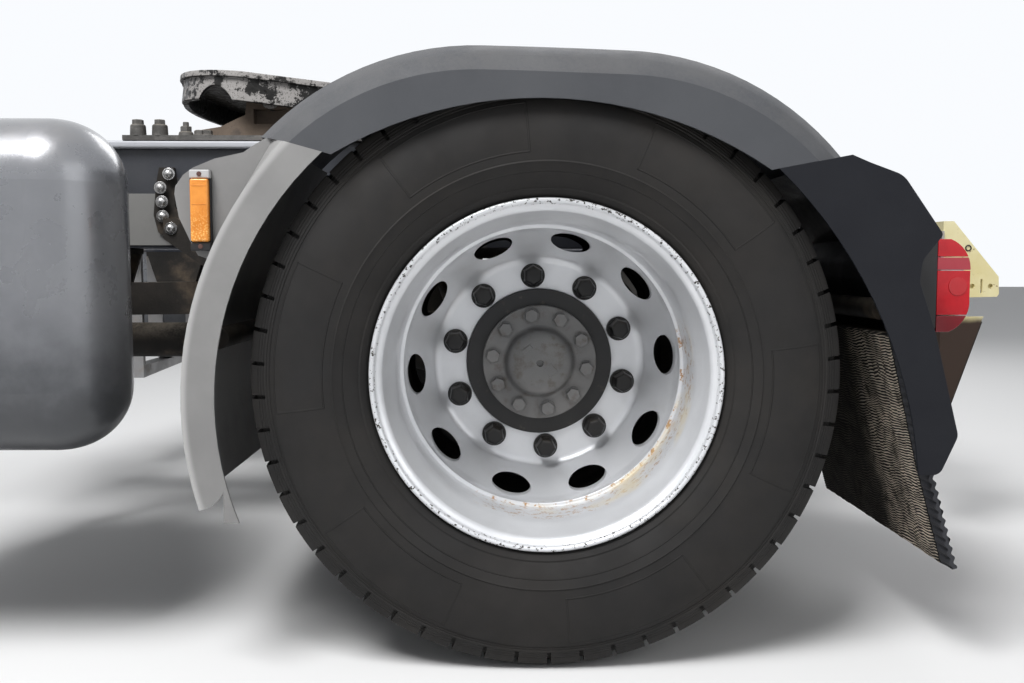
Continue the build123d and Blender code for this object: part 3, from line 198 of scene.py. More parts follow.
def surface(name, look):
    # one Principled material: a varied base, the look's layers over it, then its bumps
    material = bpy.data.materials.new(name)
    material.use_nodes = True
    tree = material.node_tree
    shader = tree.nodes["Principled BSDF"]
    shader.inputs["Metallic"].default_value = look.get("metallic", 0.0)
    shader.inputs["Coat Weight"].default_value = look.get("coat", 0.0)
    shader.inputs["Coat Roughness"].default_value = look.get("coatRoughness", 0.1)
    shader.inputs["Specular IOR Level"].default_value = look.get("specular", 0.35)
    tintScale = look.get("tintScale", 5.0)
    uneven = look.get("uneven", 0.06)
    tint = place(tree, clouds, Scale=tintScale, Low=0.3, High=0.7)["Mask"]
    base = mixColour(tree, tint, (*look["colour"], 1), (*look.get("tint", look["colour"]), 1))
    rough = span(tree, place(tree, clouds, Scale=tintScale * 3, Low=0.3, High=0.7)["Mask"], 0.0, 1.0,
                 look["roughness"] - uneven, look["roughness"] + uneven)
    for makeMask, colour, roughness in look.get("layers", ()):
        mask = makeMask(tree)
        base = mixColour(tree, mask, base, (*colour, 1))
        roughMix = addNode(tree, "ShaderNodeMix", data_type="FLOAT")
        feed(tree, roughMix.inputs[0], mask)
        feed(tree, roughMix.inputs[2], rough)
        feed(tree, roughMix.inputs[3], roughness)
        rough = roughMix.outputs[0]
    feed(tree, shader.inputs["Base Color"], base)
    feed(tree, shader.inputs["Roughness"], rough)
    normal = None
    grain = [(lambda t: noise(t, objectPoint(t), look.get("grainScale", 900.0), 3.0, 0.6),
              look.get("grain", 0.0002))]
    for makeHeight, depth in grain + look.get("bumps", []):
        bump = addNode(tree, "ShaderNodeBump")
        bump.inputs["Distance"].default_value = depth
        feed(tree, bump.inputs["Height"], makeHeight(tree))
        feed(tree, bump.inputs["Normal"], normal)
        normal = bump.outputs["Normal"]
    feed(tree, shader.inputs["Normal"], normal)
    return material


# masks that several finishes share
def dustMask(amount, scale=9.0):
    return lambda tree: place(tree, settledDust, Amount=amount, Scale=scale)["Mask"]


def cloudMask(scale, low, high, strength=1.0):
    return lambda tree: product(tree, place(tree, clouds, Scale=scale, Low=low, High=high)["Mask"], strength)


def speckMask(scale, threshold, soft=0.02, strength=1.0):
    return lambda tree: product(tree, place(tree, specks, Scale=scale, Threshold=threshold,
                                            Soft=soft)["Mask"], strength)


def raggedSpan(tree, value, low, high, scale):
    # 0 under the lower value, 1 over the upper one, with a ragged border
    ragged = product(tree, noise(tree, objectPoint(tree), scale, 5.0), high - low)
    return span(tree, calc(tree, "ADD", value, ragged), low, 2 * high - low)


def underHeight(low, high, strength=1.0):
    # what lies under a height over the axle
    return lambda tree: product(tree, inverse(tree, raggedSpan(tree, coordinates(tree)["Z"], axle.z + low,
                                                               axle.z + high, 22.0)), strength)


def ringBand(tree, low, high, soft=0.002):
    radius = place(tree, aboutAxle)["Radius"]
    rise = span(tree, radius, low - soft, low + soft)
    return product(tree, rise, span(tree, radius, high - soft, high + soft, 1.0, 0.0))


def ringSpecks(low, high, scale, threshold):
    return lambda tree: product(tree, ringBand(tree, low, high),
                                place(tree, specks, Scale=scale, Threshold=threshold, Soft=0.015)["Mask"])


# the weld inside each outer rim: radii in metres, turns in radians where water has run, rearward and low
weld = {
    "rust": (0.2545, 0.2612, 0.0012), "rustScale": 75.0, "rustSpots": (0.53, 0.60),
    "stain": (0.2560, 0.2625, 0.0015), "stainScale": 9.0, "stainShare": (0.42, 0.62, 0.0, 0.6),
    "rearTurn": (-1.45, -1.15, 1.0, 0.0), "lowTurn": (2.55, 2.85),
}


def lowerRear(tree):
    turn = place(tree, aboutAxle)["Turn"]
    return calc(tree, "MAXIMUM", span(tree, turn, *weld["rearTurn"]), span(tree, turn, *weld["lowTurn"]))


def weldRust(tree):
    spots = span(tree, noise(tree, objectPoint(tree), weld["rustScale"], 7.0, 0.7), *weld["rustSpots"])
    return product(tree, ringBand(tree, *weld["rust"]), lowerRear(tree), spots)


def weldStain(tree):
    patches = span(tree, noise(tree, objectPoint(tree), weld["stainScale"], 4.0), *weld["stainShare"])
    return product(tree, ringBand(tree, *weld["stain"]), lowerRear(tree), patches)


# dried mud on the spray flaps, held mostly to their outer part, where the pale mud also stands in for light
# as painted light: shares of a rib's height, then distances from the middle of the vehicle
mudAndLight = {"crest": (0.10, 0.45), "patches": (0.30, 0.60, 0.45, 1.0), "patchScale": 14.0, "outer": (0.98, 1.05),
       "innerShare": 0.12}


def ribHeight(tree):
    return addNode(tree, "ShaderNodeAttribute", attribute_name="rib").outputs["Fac"]


def ribMudAndLight(tree):
    # mud on the crests of the ribs, in patches; kept mostly to the outer part, where it is also painted
    # light; the fluted edge stays dark
    crest = span(tree, ribHeight(tree), *mudAndLight["crest"])
    patches = span(tree, noise(tree, objectPoint(tree), mudAndLight["patchScale"], 4.0), *mudAndLight["patches"])
    off = calc(tree, "ABSOLUTE", coordinates(tree)["Y"])
    outer = span(tree, raggedSpan(tree, off, *mudAndLight["outer"], 16.0), 0.0, 1.0, mudAndLight["innerShare"], 1.0)
    return product(tree, crest, patches, outer)


def fluteMask(tree):
    # the flaps' fluted edge carries a rib height of -1
    return calc(tree, "LESS_THAN", ribHeight(tree), -0.5)


# facets moulded in the lenses: cells in a metre, and where the painted glints end over the axle
facets = {"amberCells": 330.0, "amberBright": (0.15, 0.55, 1.0, 0.0), "amberTop": (0.235, 0.275),
          "amberStrength": 0.9, "prismCells": 520.0}


def lensGlints(tree):
    # painted glints: bright facets in the lower half of an amber lens
    cells = addNode(tree, "ShaderNodeTexVoronoi")
    feed(tree, cells.inputs["Vector"], objectPoint(tree))
    cells.inputs["Scale"].default_value = facets["amberCells"]
    bright = span(tree, cells.outputs["Distance"], *facets["amberBright"])
    return product(tree, bright, underHeight(*facets["amberTop"], facets["amberStrength"])(tree))


def prismHeight(tree):
    # small pyramids moulded inside a reflector
    cells = addNode(tree, "ShaderNodeTexVoronoi", distance="MANHATTAN")
    feed(tree, cells.inputs["Vector"], objectPoint(tree))
    cells.inputs["Scale"].default_value = facets["prismCells"]
    cells.inputs["Randomness"].default_value = 0.0
    return cells.outputs["Distance"]


# dried grease on the coupling: noise shares, and the middle that the outer faces look away from
grease = {"patchScale": 19.0, "patch": (0.475, 0.515), "pitScale": 260.0, "pitFrom": 0.58, "pitDepth": 0.8,
          "middle": (axle.x + 0.60, 0.0, 0.18), "facing": (0.05, 0.12)}


def vectorCalc(tree, operation, a, b):
    node = addNode(tree, "ShaderNodeVectorMath", operation=operation)
    feed(tree, node.inputs[0], a)
    feed(tree, node.inputs[1], b)
    return node.outputs


def dryGrease(tree):
    # pale dried grease in ragged patches on the outer faces, with dark pits
    patch = span(tree, noise(tree, objectPoint(tree), grease["patchScale"], 9.0, 0.72), *grease["patch"])
    pits = place(tree, specks, Scale=grease["pitScale"], Threshold=grease["pitFrom"], Soft=0.03)["Mask"]
    away = vectorCalc(tree, "SUBTRACT", objectPoint(tree), grease["middle"])["Vector"]
    level = vectorCalc(tree, "MULTIPLY", away, (1.0, 1.0, 0.0))["Vector"]
    normal = addNode(tree, "ShaderNodeNewGeometry").outputs["Normal"]
    facing = span(tree, vectorCalc(tree, "DOT_PRODUCT", normal, level)["Value"], *grease["facing"])
    return product(tree, patch, inverse(tree, product(tree, pits, grease["pitDepth"])), facing)


# the front guards' ridge: its centre from the axle, its radius and the width of the painted highlight band
ridge = {"ahead": -0.003, "above": -0.038, "radius": 0.598, "band": 0.011, "strength": 0.75}


def ridgeHighlight(tree):
    # a lighter band along the ridge: a painted highlight
    radius = distanceFrom(tree, coordinates(tree), axle.x + ridge["ahead"], axle.z + ridge["above"])[0]
    off = calc(tree, "ABSOLUTE", calc(tree, "SUBTRACT", radius, ridge["radius"]))
    return span(tree, off, 0.0, ridge["band"], ridge["strength"], 0.0)


# relief on the tyres' sides: radii of whole rings, and of the outlines of panels that repeat about the axle
sidewall = {
    "rings": [(0.4695, 0.4708), (0.4742, 0.4755), (0.4790, 0.4803), (0.3385, 0.3400)], "ringSoft": 0.0005,
    "panels": 6, "panelShare": (0.08, 0.62), "outlines": [(0.3700, 0.3722), (0.4500, 0.4522)],
    "outlineSoft": 0.0007, "panelReach": (0.3705, 0.4515), "endLine": (0.0026, 0.0042, 1.0, 0.0),
}


def tyreLines(tree):
    height = 0.0
    for low, high in sidewall["rings"]:
        height = calc(tree, "ADD", height, ringBand(tree, low, high, sidewall["ringSoft"]))
    turn = calc(tree, "ADD", place(tree, aboutAxle)["Turn"], math.pi)
    share = calc(tree, "FRACT", product(tree, turn, sidewall["panels"] / (2 * math.pi)))
    first, last = sidewall["panelShare"]
    inside = product(tree, calc(tree, "GREATER_THAN", share, first), calc(tree, "LESS_THAN", share, last))
    for low, high in sidewall["outlines"]:
        outline = product(tree, ringBand(tree, low, high, sidewall["outlineSoft"]), inside)
        height = calc(tree, "ADD", height, outline)
    ends = 0.0
    for spot in (first, last):
        off = calc(tree, "ABSOLUTE", calc(tree, "SUBTRACT", share, spot))
        ends = calc(tree, "ADD", ends, span(tree, off, *sidewall["endLine"]))
    reach = ringBand(tree, *sidewall["panelReach"], sidewall["ringSoft"])
    return calc(tree, "ADD", height, product(tree, ends, reach))


dustTone = (0.30, 0.26, 0.21)
mudTone = (0.34, 0.27, 0.20)
# colours, roughness and grain of each finish; layers are (mask, colour, roughness), laid one over another,
# and bumps are (height, depth in metres)
finishLooks = {
    "chassisPaint": {
        "colour": (0.016, 0.019, 0.028), "tint": (0.028, 0.03, 0.036), "roughness": 0.36, "specular": 0.4,
        "grain": 0.0003,
        "layers": [(dustMask(0.75, 4.0), (0.42, 0.42, 0.43), 0.6),
                   (cloudMask(14, 0.58, 0.8, 0.35), mudTone, 0.95)],
    },
    "axlePaint": {
        "colour": (0.012, 0.0115, 0.011), "tint": (0.026, 0.022, 0.019), "roughness": 0.7, "specular": 0.2,
        "grain": 0.0006, "grainScale": 300.0,
        "layers": [(cloudMask(10, 0.5, 0.75, 0.6), (0.16, 0.12, 0.085), 0.95),
                   (dustMask(0.6), dustTone, 0.95)],
    },
    "couplingGrease": {
        "colour": (0.006, 0.0055, 0.0055), "tint": (0.014, 0.013, 0.012), "roughness": 0.42,
        "specular": 0.25, "uneven": 0.16, "grain": 0.0016, "grainScale": 90.0, "tintScale": 16.0,
        "layers": [(dustMask(0.3, 25.0), (0.10, 0.095, 0.09), 0.9), (dryGrease, (0.34, 0.325, 0.315), 0.92)],
    },
    "pedestalCast": {
        "colour": (0.10, 0.078, 0.062), "tint": (0.17, 0.13, 0.10), "roughness": 0.8, "grain": 0.0012,
        "grainScale": 220.0,
        "layers": [(cloudMask(20, 0.5, 0.7, 0.6), (0.04, 0.035, 0.033), 0.6)],
    },
    "guardPlastic": {
        "colour": (0.050, 0.053, 0.060), "tint": (0.062, 0.065, 0.072), "roughness": 0.58, "grain": 0.00035,
        "grainScale": 1400.0,
        "layers": [(dustMask(0.25, 6.0), (0.2, 0.19, 0.18), 0.85),
                   (speckMask(400.0, 0.72, 0.02, 0.5), (0.2, 0.19, 0.18), 0.9)],
    },
    # front guard and fin: the same plastic painted lighter as painted light, with real dust and specks and a
    # painted highlight along the ridge
    "guardLitDusty": {
        "colour": (0.205, 0.202, 0.20), "tint": (0.25, 0.247, 0.243), "roughness": 0.52, "grain": 0.0004,
        "grainScale": 1500.0,
        "layers": [(dustMask(0.3, 6.0), (0.34, 0.33, 0.32), 0.8), (ridgeHighlight, (0.46, 0.455, 0.45), 0.5),
                   (speckMask(420.0, 0.70, 0.02, 0.35), (0.30, 0.29, 0.28), 0.9)],
    },
    # rear guard: the same plastic painted near black as painted shade, with a little dust and specks
    "guardShaded": {
        "colour": (0.0055, 0.0062, 0.0095), "tint": (0.0085, 0.0095, 0.013), "roughness": 0.5,
        "specular": 0.2, "grain": 0.0004, "grainScale": 1300.0,
        "layers": [(dustMask(0.10, 6.0), (0.10, 0.10, 0.10), 0.85),
                   (speckMask(260.0, 0.76, 0.02, 0.5), (0.08, 0.08, 0.085), 0.9)],
    },
    "plateSteel": {
        "colour": (0.055, 0.053, 0.050), "tint": (0.13, 0.125, 0.12), "tintScale": 18.0, "roughness": 0.55,
        "grain": 0.0006, "grainScale": 350.0,
        "layers": [(cloudMask(26, 0.5, 0.7, 0.6), (0.20, 0.19, 0.18), 0.8),
                   (dustMask(0.5, 12.0), dustTone, 0.95)],
    },
    # the pale grey of the lower web: painted light
    "webSunPatch": {
        "colour": (0.17, 0.168, 0.165), "tint": (0.20, 0.198, 0.19), "roughness": 0.5,
        "layers": [(cloudMask(12, 0.5, 0.8, 0.4), (0.11, 0.105, 0.10), 0.8)],
    },
    "boltBright": {
        "colour": (0.50, 0.50, 0.50), "tint": (0.38, 0.37, 0.36), "roughness": 0.24, "metallic": 0.9,
        "layers": [(cloudMask(60, 0.5, 0.7, 0.5), (0.10, 0.09, 0.08), 0.7)],
    },
    # the marker lamps' upper end: light grey as a painted highlight; the lower end keeps the black lamp
    # finish
    "markerEndHighlight": {
        "colour": (0.42, 0.42, 0.42), "tint": (0.50, 0.50, 0.50), "roughness": 0.4,
        "layers": [(speckMask(150.0, 0.66), (0.12, 0.09, 0.07), 0.8)],
    },
    "lensDeep": {
        "colour": (0.17, 0.008, 0.014), "tint": (0.24, 0.016, 0.022), "roughness": 0.2, "coat": 0.35,
        "coatRoughness": 0.04, "grain": 0.0,
    },
    "lensPink": {
        "colour": (0.34, 0.030, 0.045), "tint": (0.42, 0.055, 0.07), "roughness": 0.3, "coat": 0.25,
        "coatRoughness": 0.08, "grain": 0.0,
    },
    "lensPrism": {
        "colour": (0.42, 0.006, 0.012), "tint": (0.52, 0.01, 0.016), "roughness": 0.22, "coat": 0.3,
        "coatRoughness": 0.05, "grain": 0.0,
        "bumps": [(prismHeight, 0.0005)],
    },
    "screwBrown": {"colour": (0.07, 0.03, 0.025), "tint": (0.12, 0.06, 0.05), "roughness": 0.6},
    "flapRubber": {
        "colour": (0.007, 0.0065, 0.006), "tint": (0.013, 0.012, 0.011), "roughness": 0.8, "specular": 0.15,
        "grain": 0.0008, "grainScale": 400.0,
        # pale mud on the rib crests, held to the outer part as painted light, and a dark fluted edge
        "layers": [(ribMudAndLight, (0.66, 0.58, 0.48), 0.97), (fluteMask, (0.040, 0.041, 0.046), 0.6)],
    },
    "bellowsRubber": {
        "colour": (0.018, 0.018, 0.018), "tint": (0.03, 0.028, 0.026), "roughness": 0.75,
        "layers": [(dustMask(0.5), dustTone, 0.95)],
    },
    "lampBlack": {
        "colour": (0.012, 0.012, 0.013), "tint": (0.02, 0.02, 0.022), "roughness": 0.45,
        "layers": [(dustMask(0.3), dustTone, 0.9)],
    },
    "lensAmber": {
        "colour": (0.64, 0.21, 0.02), "tint": (0.78, 0.30, 0.05), "roughness": 0.2, "tintScale": 30.0,
        "coat": 0.3, "coatRoughness": 0.06, "grain": 0.0,
        # bright facets low on the lens are painted glints
        "layers": [(lensGlints, (0.98, 0.62, 0.20), 0.2)],
    },
    "lensRed": {
        "colour": (0.40, 0.005, 0.012), "tint": (0.52, 0.009, 0.016), "roughness": 0.2, "tintScale": 22.0,
        "coat": 0.3, "coatRoughness": 0.05, "grain": 0.0,
    },
    "tankPaint": {
        "colour": (0.20, 0.205, 0.22), "tint": (0.23, 0.235, 0.25), "roughness": 0.3, "metallic": 0.55,
        "coat": 0.5, "coatRoughness": 0.12, "grain": 0.0001,
        "layers": [(dustMask(0.2, 5.0), dustTone, 0.7),
                   # painted reflection: the lower part darker, as if it mirrored dark ground
                   (underHeight(-0.02, 0.10, 0.85), (0.030, 0.032, 0.036), 0.45)],
    },
    "strapSteel": {
        "colour": (0.36, 0.36, 0.37), "tint": (0.28, 0.27, 0.26), "roughness": 0.45, "metallic": 0.8,
        "layers": [(cloudMask(18, 0.5, 0.8, 0.5), mudTone, 0.9)],
    },
    "chockPaint": {
        "colour": (0.62, 0.54, 0.26), "tint": (0.74, 0.69, 0.44), "roughness": 0.5, "grain": 0.0004,
        "layers": [(speckMask(70.0, 0.66), (0.25, 0.17, 0.09), 0.8),
                   # the lower part dark brown: partly dirt, partly painted shade
                   (underHeight(0.050, 0.062), (0.035, 0.022, 0.016), 0.9)],
    },
    "tyreRubber": {
        "colour": (0.016, 0.0155, 0.0155), "tint": (0.021, 0.0195, 0.0185), "roughness": 0.7,
        "specular": 0.2, "grain": 0.0004, "grainScale": 1200.0,
        "layers": [(cloudMask(7, 0.4, 0.85, 0.30), (0.050, 0.044, 0.038), 0.9),
                   (speckMask(500.0, 0.66, 0.03, 0.25), (0.06, 0.055, 0.05), 0.9)],
        "bumps": [(tyreLines, 0.0016)],
    },
    "rimPaint": {
        "colour": (0.62, 0.63, 0.65), "tint": (0.70, 0.71, 0.73), "roughness": 0.34, "metallic": 0.35,
        "coat": 0.3, "coatRoughness": 0.2, "grain": 0.0002,
        "layers": [(cloudMask(9, 0.55, 0.85, 0.35), (0.42, 0.40, 0.37), 0.6),
                   (ringSpecks(0.288, 0.300, 170.0, 0.585), (0.05, 0.045, 0.04), 0.8),
                   (weldRust, (0.40, 0.22, 0.09), 0.85), (weldStain, (0.72, 0.60, 0.36), 0.6)],
    },
    # inner rims, seen through the hand holes: near black as painted shade
    "rimShaded": {
        "colour": (0.035, 0.032, 0.030), "tint": (0.06, 0.054, 0.048), "roughness": 0.7, "specular": 0.2,
    },
    "stripPale": {
        "colour": (0.42, 0.43, 0.46), "tint": (0.50, 0.51, 0.54), "roughness": 0.38,
        "layers": [(cloudMask(30, 0.62, 0.8, 0.5), (0.16, 0.15, 0.14), 0.8)],
    },
    "hubBlack": {
        "colour": (0.006, 0.006, 0.007), "tint": (0.012, 0.0115, 0.011), "roughness": 0.36,
        "specular": 0.35, "grain": 0.0003,
        "layers": [(cloudMask(40, 0.6, 0.75, 0.5), (0.12, 0.1, 0.08), 0.9)],
    },
    "hubCast": {
        "colour": (0.13, 0.13, 0.13), "tint": (0.18, 0.175, 0.17), "roughness": 0.5, "metallic": 0.3,
        "grain": 0.0005, "grainScale": 500.0,
        "layers": [(cloudMask(45, 0.52, 0.7, 0.6), (0.10, 0.085, 0.07), 0.8)],
    },
    "capBlack": {
        "colour": (0.006, 0.006, 0.0065), "tint": (0.011, 0.0105, 0.0105), "roughness": 0.4, "specular": 0.3,
        "layers": [(dustMask(0.12, 60.0), dustTone, 0.9)],
    },
}
finishes = {name: surface(name, look) for name, look in finishLooks.items()}
print("finishes made:", len(finishes))

# which finish each of the record's slots gets
slotFinish = {
    "frame_paint": "chassisPaint", "axle_paint": "axlePaint", "coupling_cast": "couplingGrease",
    "pedestal_cast": "pedestalCast", "guard_plastic": "guardPlastic", "flap_rubber": "flapRubber",
    "bellows_rubber": "bellowsRubber", "lamp_plastic": "lampBlack", "lens_amber": "lensAmber",
    "lens_red": "lensRed", "tank_paint": "tankPaint", "strap_metal": "strapSteel",
    "chock_paint": "chockPaint",
    "tyre_rubber": "tyreRubber", "rim_paint": "rimPaint", "hub_paint": "hubBlack", "hub_cast": "hubCast",
    "cap_plastic": "capBlack",
}
# the inner rims take the near-black finish as painted shade; the brake calipers take the black rubber finish
nodeFinish = {"rim_inner_left": "rimShaded", "rim_inner_right": "rimShaded", "brake_calipers": "bellowsRubber"}
nodeSlots = {part["node"]: part["material_slot"] for part in frame["record"]["subparts"]}
nodeBodies = {node: body for body, nodes in frame["record"]["behaviour"]["bodies"].items() for node in nodes}


# how near points count as one, in metres: in meshes made here, in carried-over ones and in cuts
weldGap, copyGap, cutGap = 0.00002, 0.00003, 0.00001


# small helpers for modelling
def addPiece(name, bm, slotName, body, replaced=(), sharp=35.0, finish=None):
    # makes the mesh an object that rides on a body and takes a slot's finish
    mesh = bpy.data.meshes.new(name)
    bm.to_mesh(mesh)
    bm.free()
    mesh.materials.append(finishes[finish or slotFinish[slotName]])
    mesh.shade_smooth()
    mesh.set_sharp_from_angle(angle=math.radians(sharp))
    piece = bpy.data.objects.new(name, mesh)
    bpy.context.scene.collection.objects.link(piece)
    weighted = piece.modifiers.new("flats", "WEIGHTED_NORMAL")
    weighted.keep_sharp = True
    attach(piece, body)
    if replaced:
        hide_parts(*replaced)
    return piece


def mirrorOver(bm):
    # turns a left-hand mesh into a right-hand one
    bmesh.ops.scale(bm, vec=(1, -1, 1), verts=bm.verts)
    bmesh.ops.recalc_face_normals(bm, faces=bm.faces)


def addTwin(bm):
    # adds the right-hand mirror image to a left-hand mesh
    bmesh.ops.mirror(bm, geom=bm.verts[:] + bm.edges[:] + bm.faces[:], axis="Y", merge_dist=cutGap)
    bmesh.ops.recalc_face_normals(bm, faces=bm.faces)


def fromAxle(x, y, z):
    return Vector((axle.x + x, y, axle.z + z))


def axleDistance(point):
    return math.hypot(point.x - axle.x, point.z - axle.z)


def outward(point):
    # the way from the axle to a point
    return Vector((point.x - axle.x, 0, point.z - axle.z)).normalized()


def creases(bm, angle):
    # the edges that turn by more than an angle in degrees
    return [edge for edge in bm.edges
            if edge.is_manifold and edge.calc_face_angle(0.0) > math.radians(angle)]


def roundEdges(bm, edges, width, segments=2, clamp=True):
    return bmesh.ops.bevel(bm, geom=edges, offset=width, offset_type="OFFSET", affect="EDGES",
                           segments=segments, profile=0.5, material=-1, clamp_overlap=clamp)["verts"]


def roundBlock(bm, made, edges, width, segments):
    # rounds edges of a block just made, and gives all its points
    grown = roundEdges(bm, edges, width, segments, clamp=False)
    return list({vert for vert in made if vert.is_valid} | set(grown))


def closeHoles(bm):
    bmesh.ops.holes_fill(bm, edges=[edge for edge in bm.edges if edge.is_boundary], sides=0)


def cutLevel(bm, height, facing):
    # drops what lies above a height, or below it where facing is -1, and closes the cut
    bmesh.ops.bisect_plane(bm, geom=bm.verts[:] + bm.edges[:] + bm.faces[:], dist=cutGap,
                           plane_co=(0, 0, height), plane_no=(0, 0, facing), clear_outer=True)
    closeHoles(bm)


def turnedPoint(radius, turn, along):
    # turn in degrees, forward from straight up
    angle = math.radians(turn)
    return Vector((axle.x + radius * math.sin(angle), along, axle.z + radius * math.cos(angle)))


def spunRing(points, steps):
    # a closed section of (distance along the axle, radius, rounding), turned about the axle
    bm = bmesh.new()
    verts = [bm.verts.new((axle.x, along, axle.z + radius)) for along, radius, _ in points]
    bm.faces.new(verts)
    for rounding in sorted({point[2] for point in points if point[2]}):
        corners = [vert for vert, point in zip(verts, points) if point[2] == rounding]
        bmesh.ops.bevel(bm, geom=corners, offset=rounding, offset_type="OFFSET", affect="VERTICES",
                        segments=4, profile=0.5, material=-1)
    bmesh.ops.delete(bm, geom=bm.faces[:], context="FACES_ONLY")
    bmesh.ops.spin(bm, geom=bm.verts[:] + bm.edges[:], cent=axle, axis=(0, 1, 0), dvec=(0, 0, 0),
                   angle=2 * math.pi, steps=steps, use_merge=True, use_duplicate=False)
    bmesh.ops.remove_doubles(bm, verts=bm.verts, dist=weldGap)
    bmesh.ops.recalc_face_normals(bm, faces=bm.faces)
    return bm


def addCone(bm, segments, low, high, radius1, radius2, bevel=0.0, turn=0.0, bevelSegments=2):
    # a round or many-sided block between two points, its far edge bevelled
    run = Vector(high) - Vector(low)
    made = bmesh.ops.create_cone(bm, cap_ends=True, cap_tris=False, segments=segments, radius1=radius1,
                                 radius2=radius2, depth=run.length)["verts"]
    if bevel:
        edges = [edge for edge in {edge for vert in made for edge in vert.link_edges}
                 if all(vert.co.z > 0 for vert in edge.verts)]
        made = roundBlock(bm, made, edges, bevel, bevelSegments)
    facing = run.to_track_quat("Z", "Y").to_matrix().to_4x4()
    middle = (Vector(low) + Vector(high)) / 2
    spot = Matrix.Translation(middle) @ facing @ Matrix.Rotation(math.radians(turn), 4, "Z")
    bmesh.ops.transform(bm, matrix=spot, verts=made)
    return made


def addBlock(bm, low, high, bevel=0.0, segments=2):
    # a box between two corners with all its edges bevelled
    low, high = Vector(low), Vector(high)
    made = bmesh.ops.create_cube(bm, size=1.0)["verts"]
    bmesh.ops.scale(bm, vec=high - low, verts=made)
    bmesh.ops.translate(bm, vec=(low + high) / 2, verts=made)
    if bevel:
        edges = list({edge for vert in made for edge in vert.link_edges})
        made = roundBlock(bm, made, edges, bevel, segments)
    return made


def addTowers(bm, foot, tiers, facing=Vector((0, 0, 1)), turn=0.0):
    # columns of tiers: sides, lower height, upper height, lower radius, upper radius, bevel
    for segments, low, high, radius1, radius2, bevel in tiers:
        addCone(bm, segments, foot + facing * low, foot + facing * high, radius1, radius2, bevel, turn, 3)


def mergedCopy(node):
    # a copy of a carried-over node with its loose triangles joined into whole faces
    bm = bmesh.new()
    bm.from_mesh(frame["nodes"][node].data)
    bmesh.ops.remove_doubles(bm, verts=bm.verts, dist=copyGap)
    bmesh.ops.dissolve_limit(bm, angle_limit=math.radians(0.5), verts=bm.verts, edges=bm.edges)
    return bm


def softened(node, width, angle=40.0):
    # a merged copy whose sharp edges are worn round
    bm = mergedCopy(node)
    roundEdges(bm, creases(bm, angle), width)
    return bm


def dressWheels(*pieces):
    # (name, maker, slot, node, smoothing) on each wheel: made for the left, mirrored for the right
    for side, sign in sides.items():
        for name, make, slotName, node, sharp in pieces:
            bm = make()
            if sign < 0:
                mirrorOver(bm)
            addPiece(f"{name}.{side}", bm, slotName, f"wheels_{side}", [f"{node}_{side}"], sharp=sharp)


def dressNodes():
    for name, piece in frame["nodes"].items():
        material = finishes[nodeFinish.get(name, slotFinish[nodeSlots[name]])]
        piece.data.materials.clear()
        piece.data.materials.append(material)


dressNodes()

# tyres: the section is half a tyre from the middle of its tread to its bead, then back inside
tyre = {
    "planes": (1.100, 0.750), "pitches": 54, "stepsPerPitch": 8, "notchDrop": 0.008, "notchInset": 0.004,
    # what is notched: distance from the tyre's plane, radius, the pitch's step on the outer and inner half
    "shoulderFrom": 0.062, "shoulderOver": 0.470, "flatSide": 0.96, "shoulderSteps": (0, 4),
    "ribFrom": 0.008, "ribTo": 0.052, "ribOver": 0.499, "ribSteps": (3, 7),
    # columns: distance from the tyre's plane, radius, rounding
    "section": [(0.006, 0.4878, 0), (0.006, 0.502, 0), (0.052, 0.5012, 0), (0.052, 0.487, 0),
                (0.062, 0.4868, 0), (0.062, 0.5008, 0), (0.098, 0.4975, 0), (0.122, 0.4935, 0),
                (0.1275, 0.489, 0), (0.1325, 0.478, 0),
                (0.1375, 0.468, 0), (0.1385, 0.4655, 0), (0.1375, 0.464, 0), (0.1395, 0.4605, 0),
                (0.1385, 0.459, 0), (0.1415, 0.4555, 0), (0.1430, 0.4525, 0), (0.1500, 0.435, 0),
                (0.1545, 0.415, 0), (0.1560, 0.396, 0), (0.1550, 0.377, 0), (0.1520, 0.357, 0),
                (0.1535, 0.3545, 0),
                (0.1515, 0.3520, 0), (0.1455, 0.337, 0), (0.1370, 0.3215, 0), (0.1310, 0.3145, 0),
                (0.1312, 0.3115, 0), (0.1265, 0.3065, 0), (0.1180, 0.3012, 0), (0.1143, 0.2990, 0),
                (0.1143, 0.28575, 0), (0.084, 0.2779, 0), (0.0843, 0.3130, 0), (0.1200, 0.345, 0),
                (0.1410, 0.396, 0), (0.1300, 0.440, 0), (0.1080, 0.458, 0), (0.0500, 0.468, 0)],
}


def sinkFaces(bm, faces, plane, drop, inset):
    # pushes a patch of the tread down towards the axle and in towards the tyre's middle
    made = bmesh.ops.extrude_face_region(bm, geom=faces)["geom"]
    for vert in (item for item in made if isinstance(item, bmesh.types.BMVert)):
        vert.co -= outward(vert.co) * drop
        vert.co.y -= inset * (1 if vert.co.y > plane else -1)
    bmesh.ops.delete(bm, geom=[face for face in faces if face.is_valid], context="FACES")


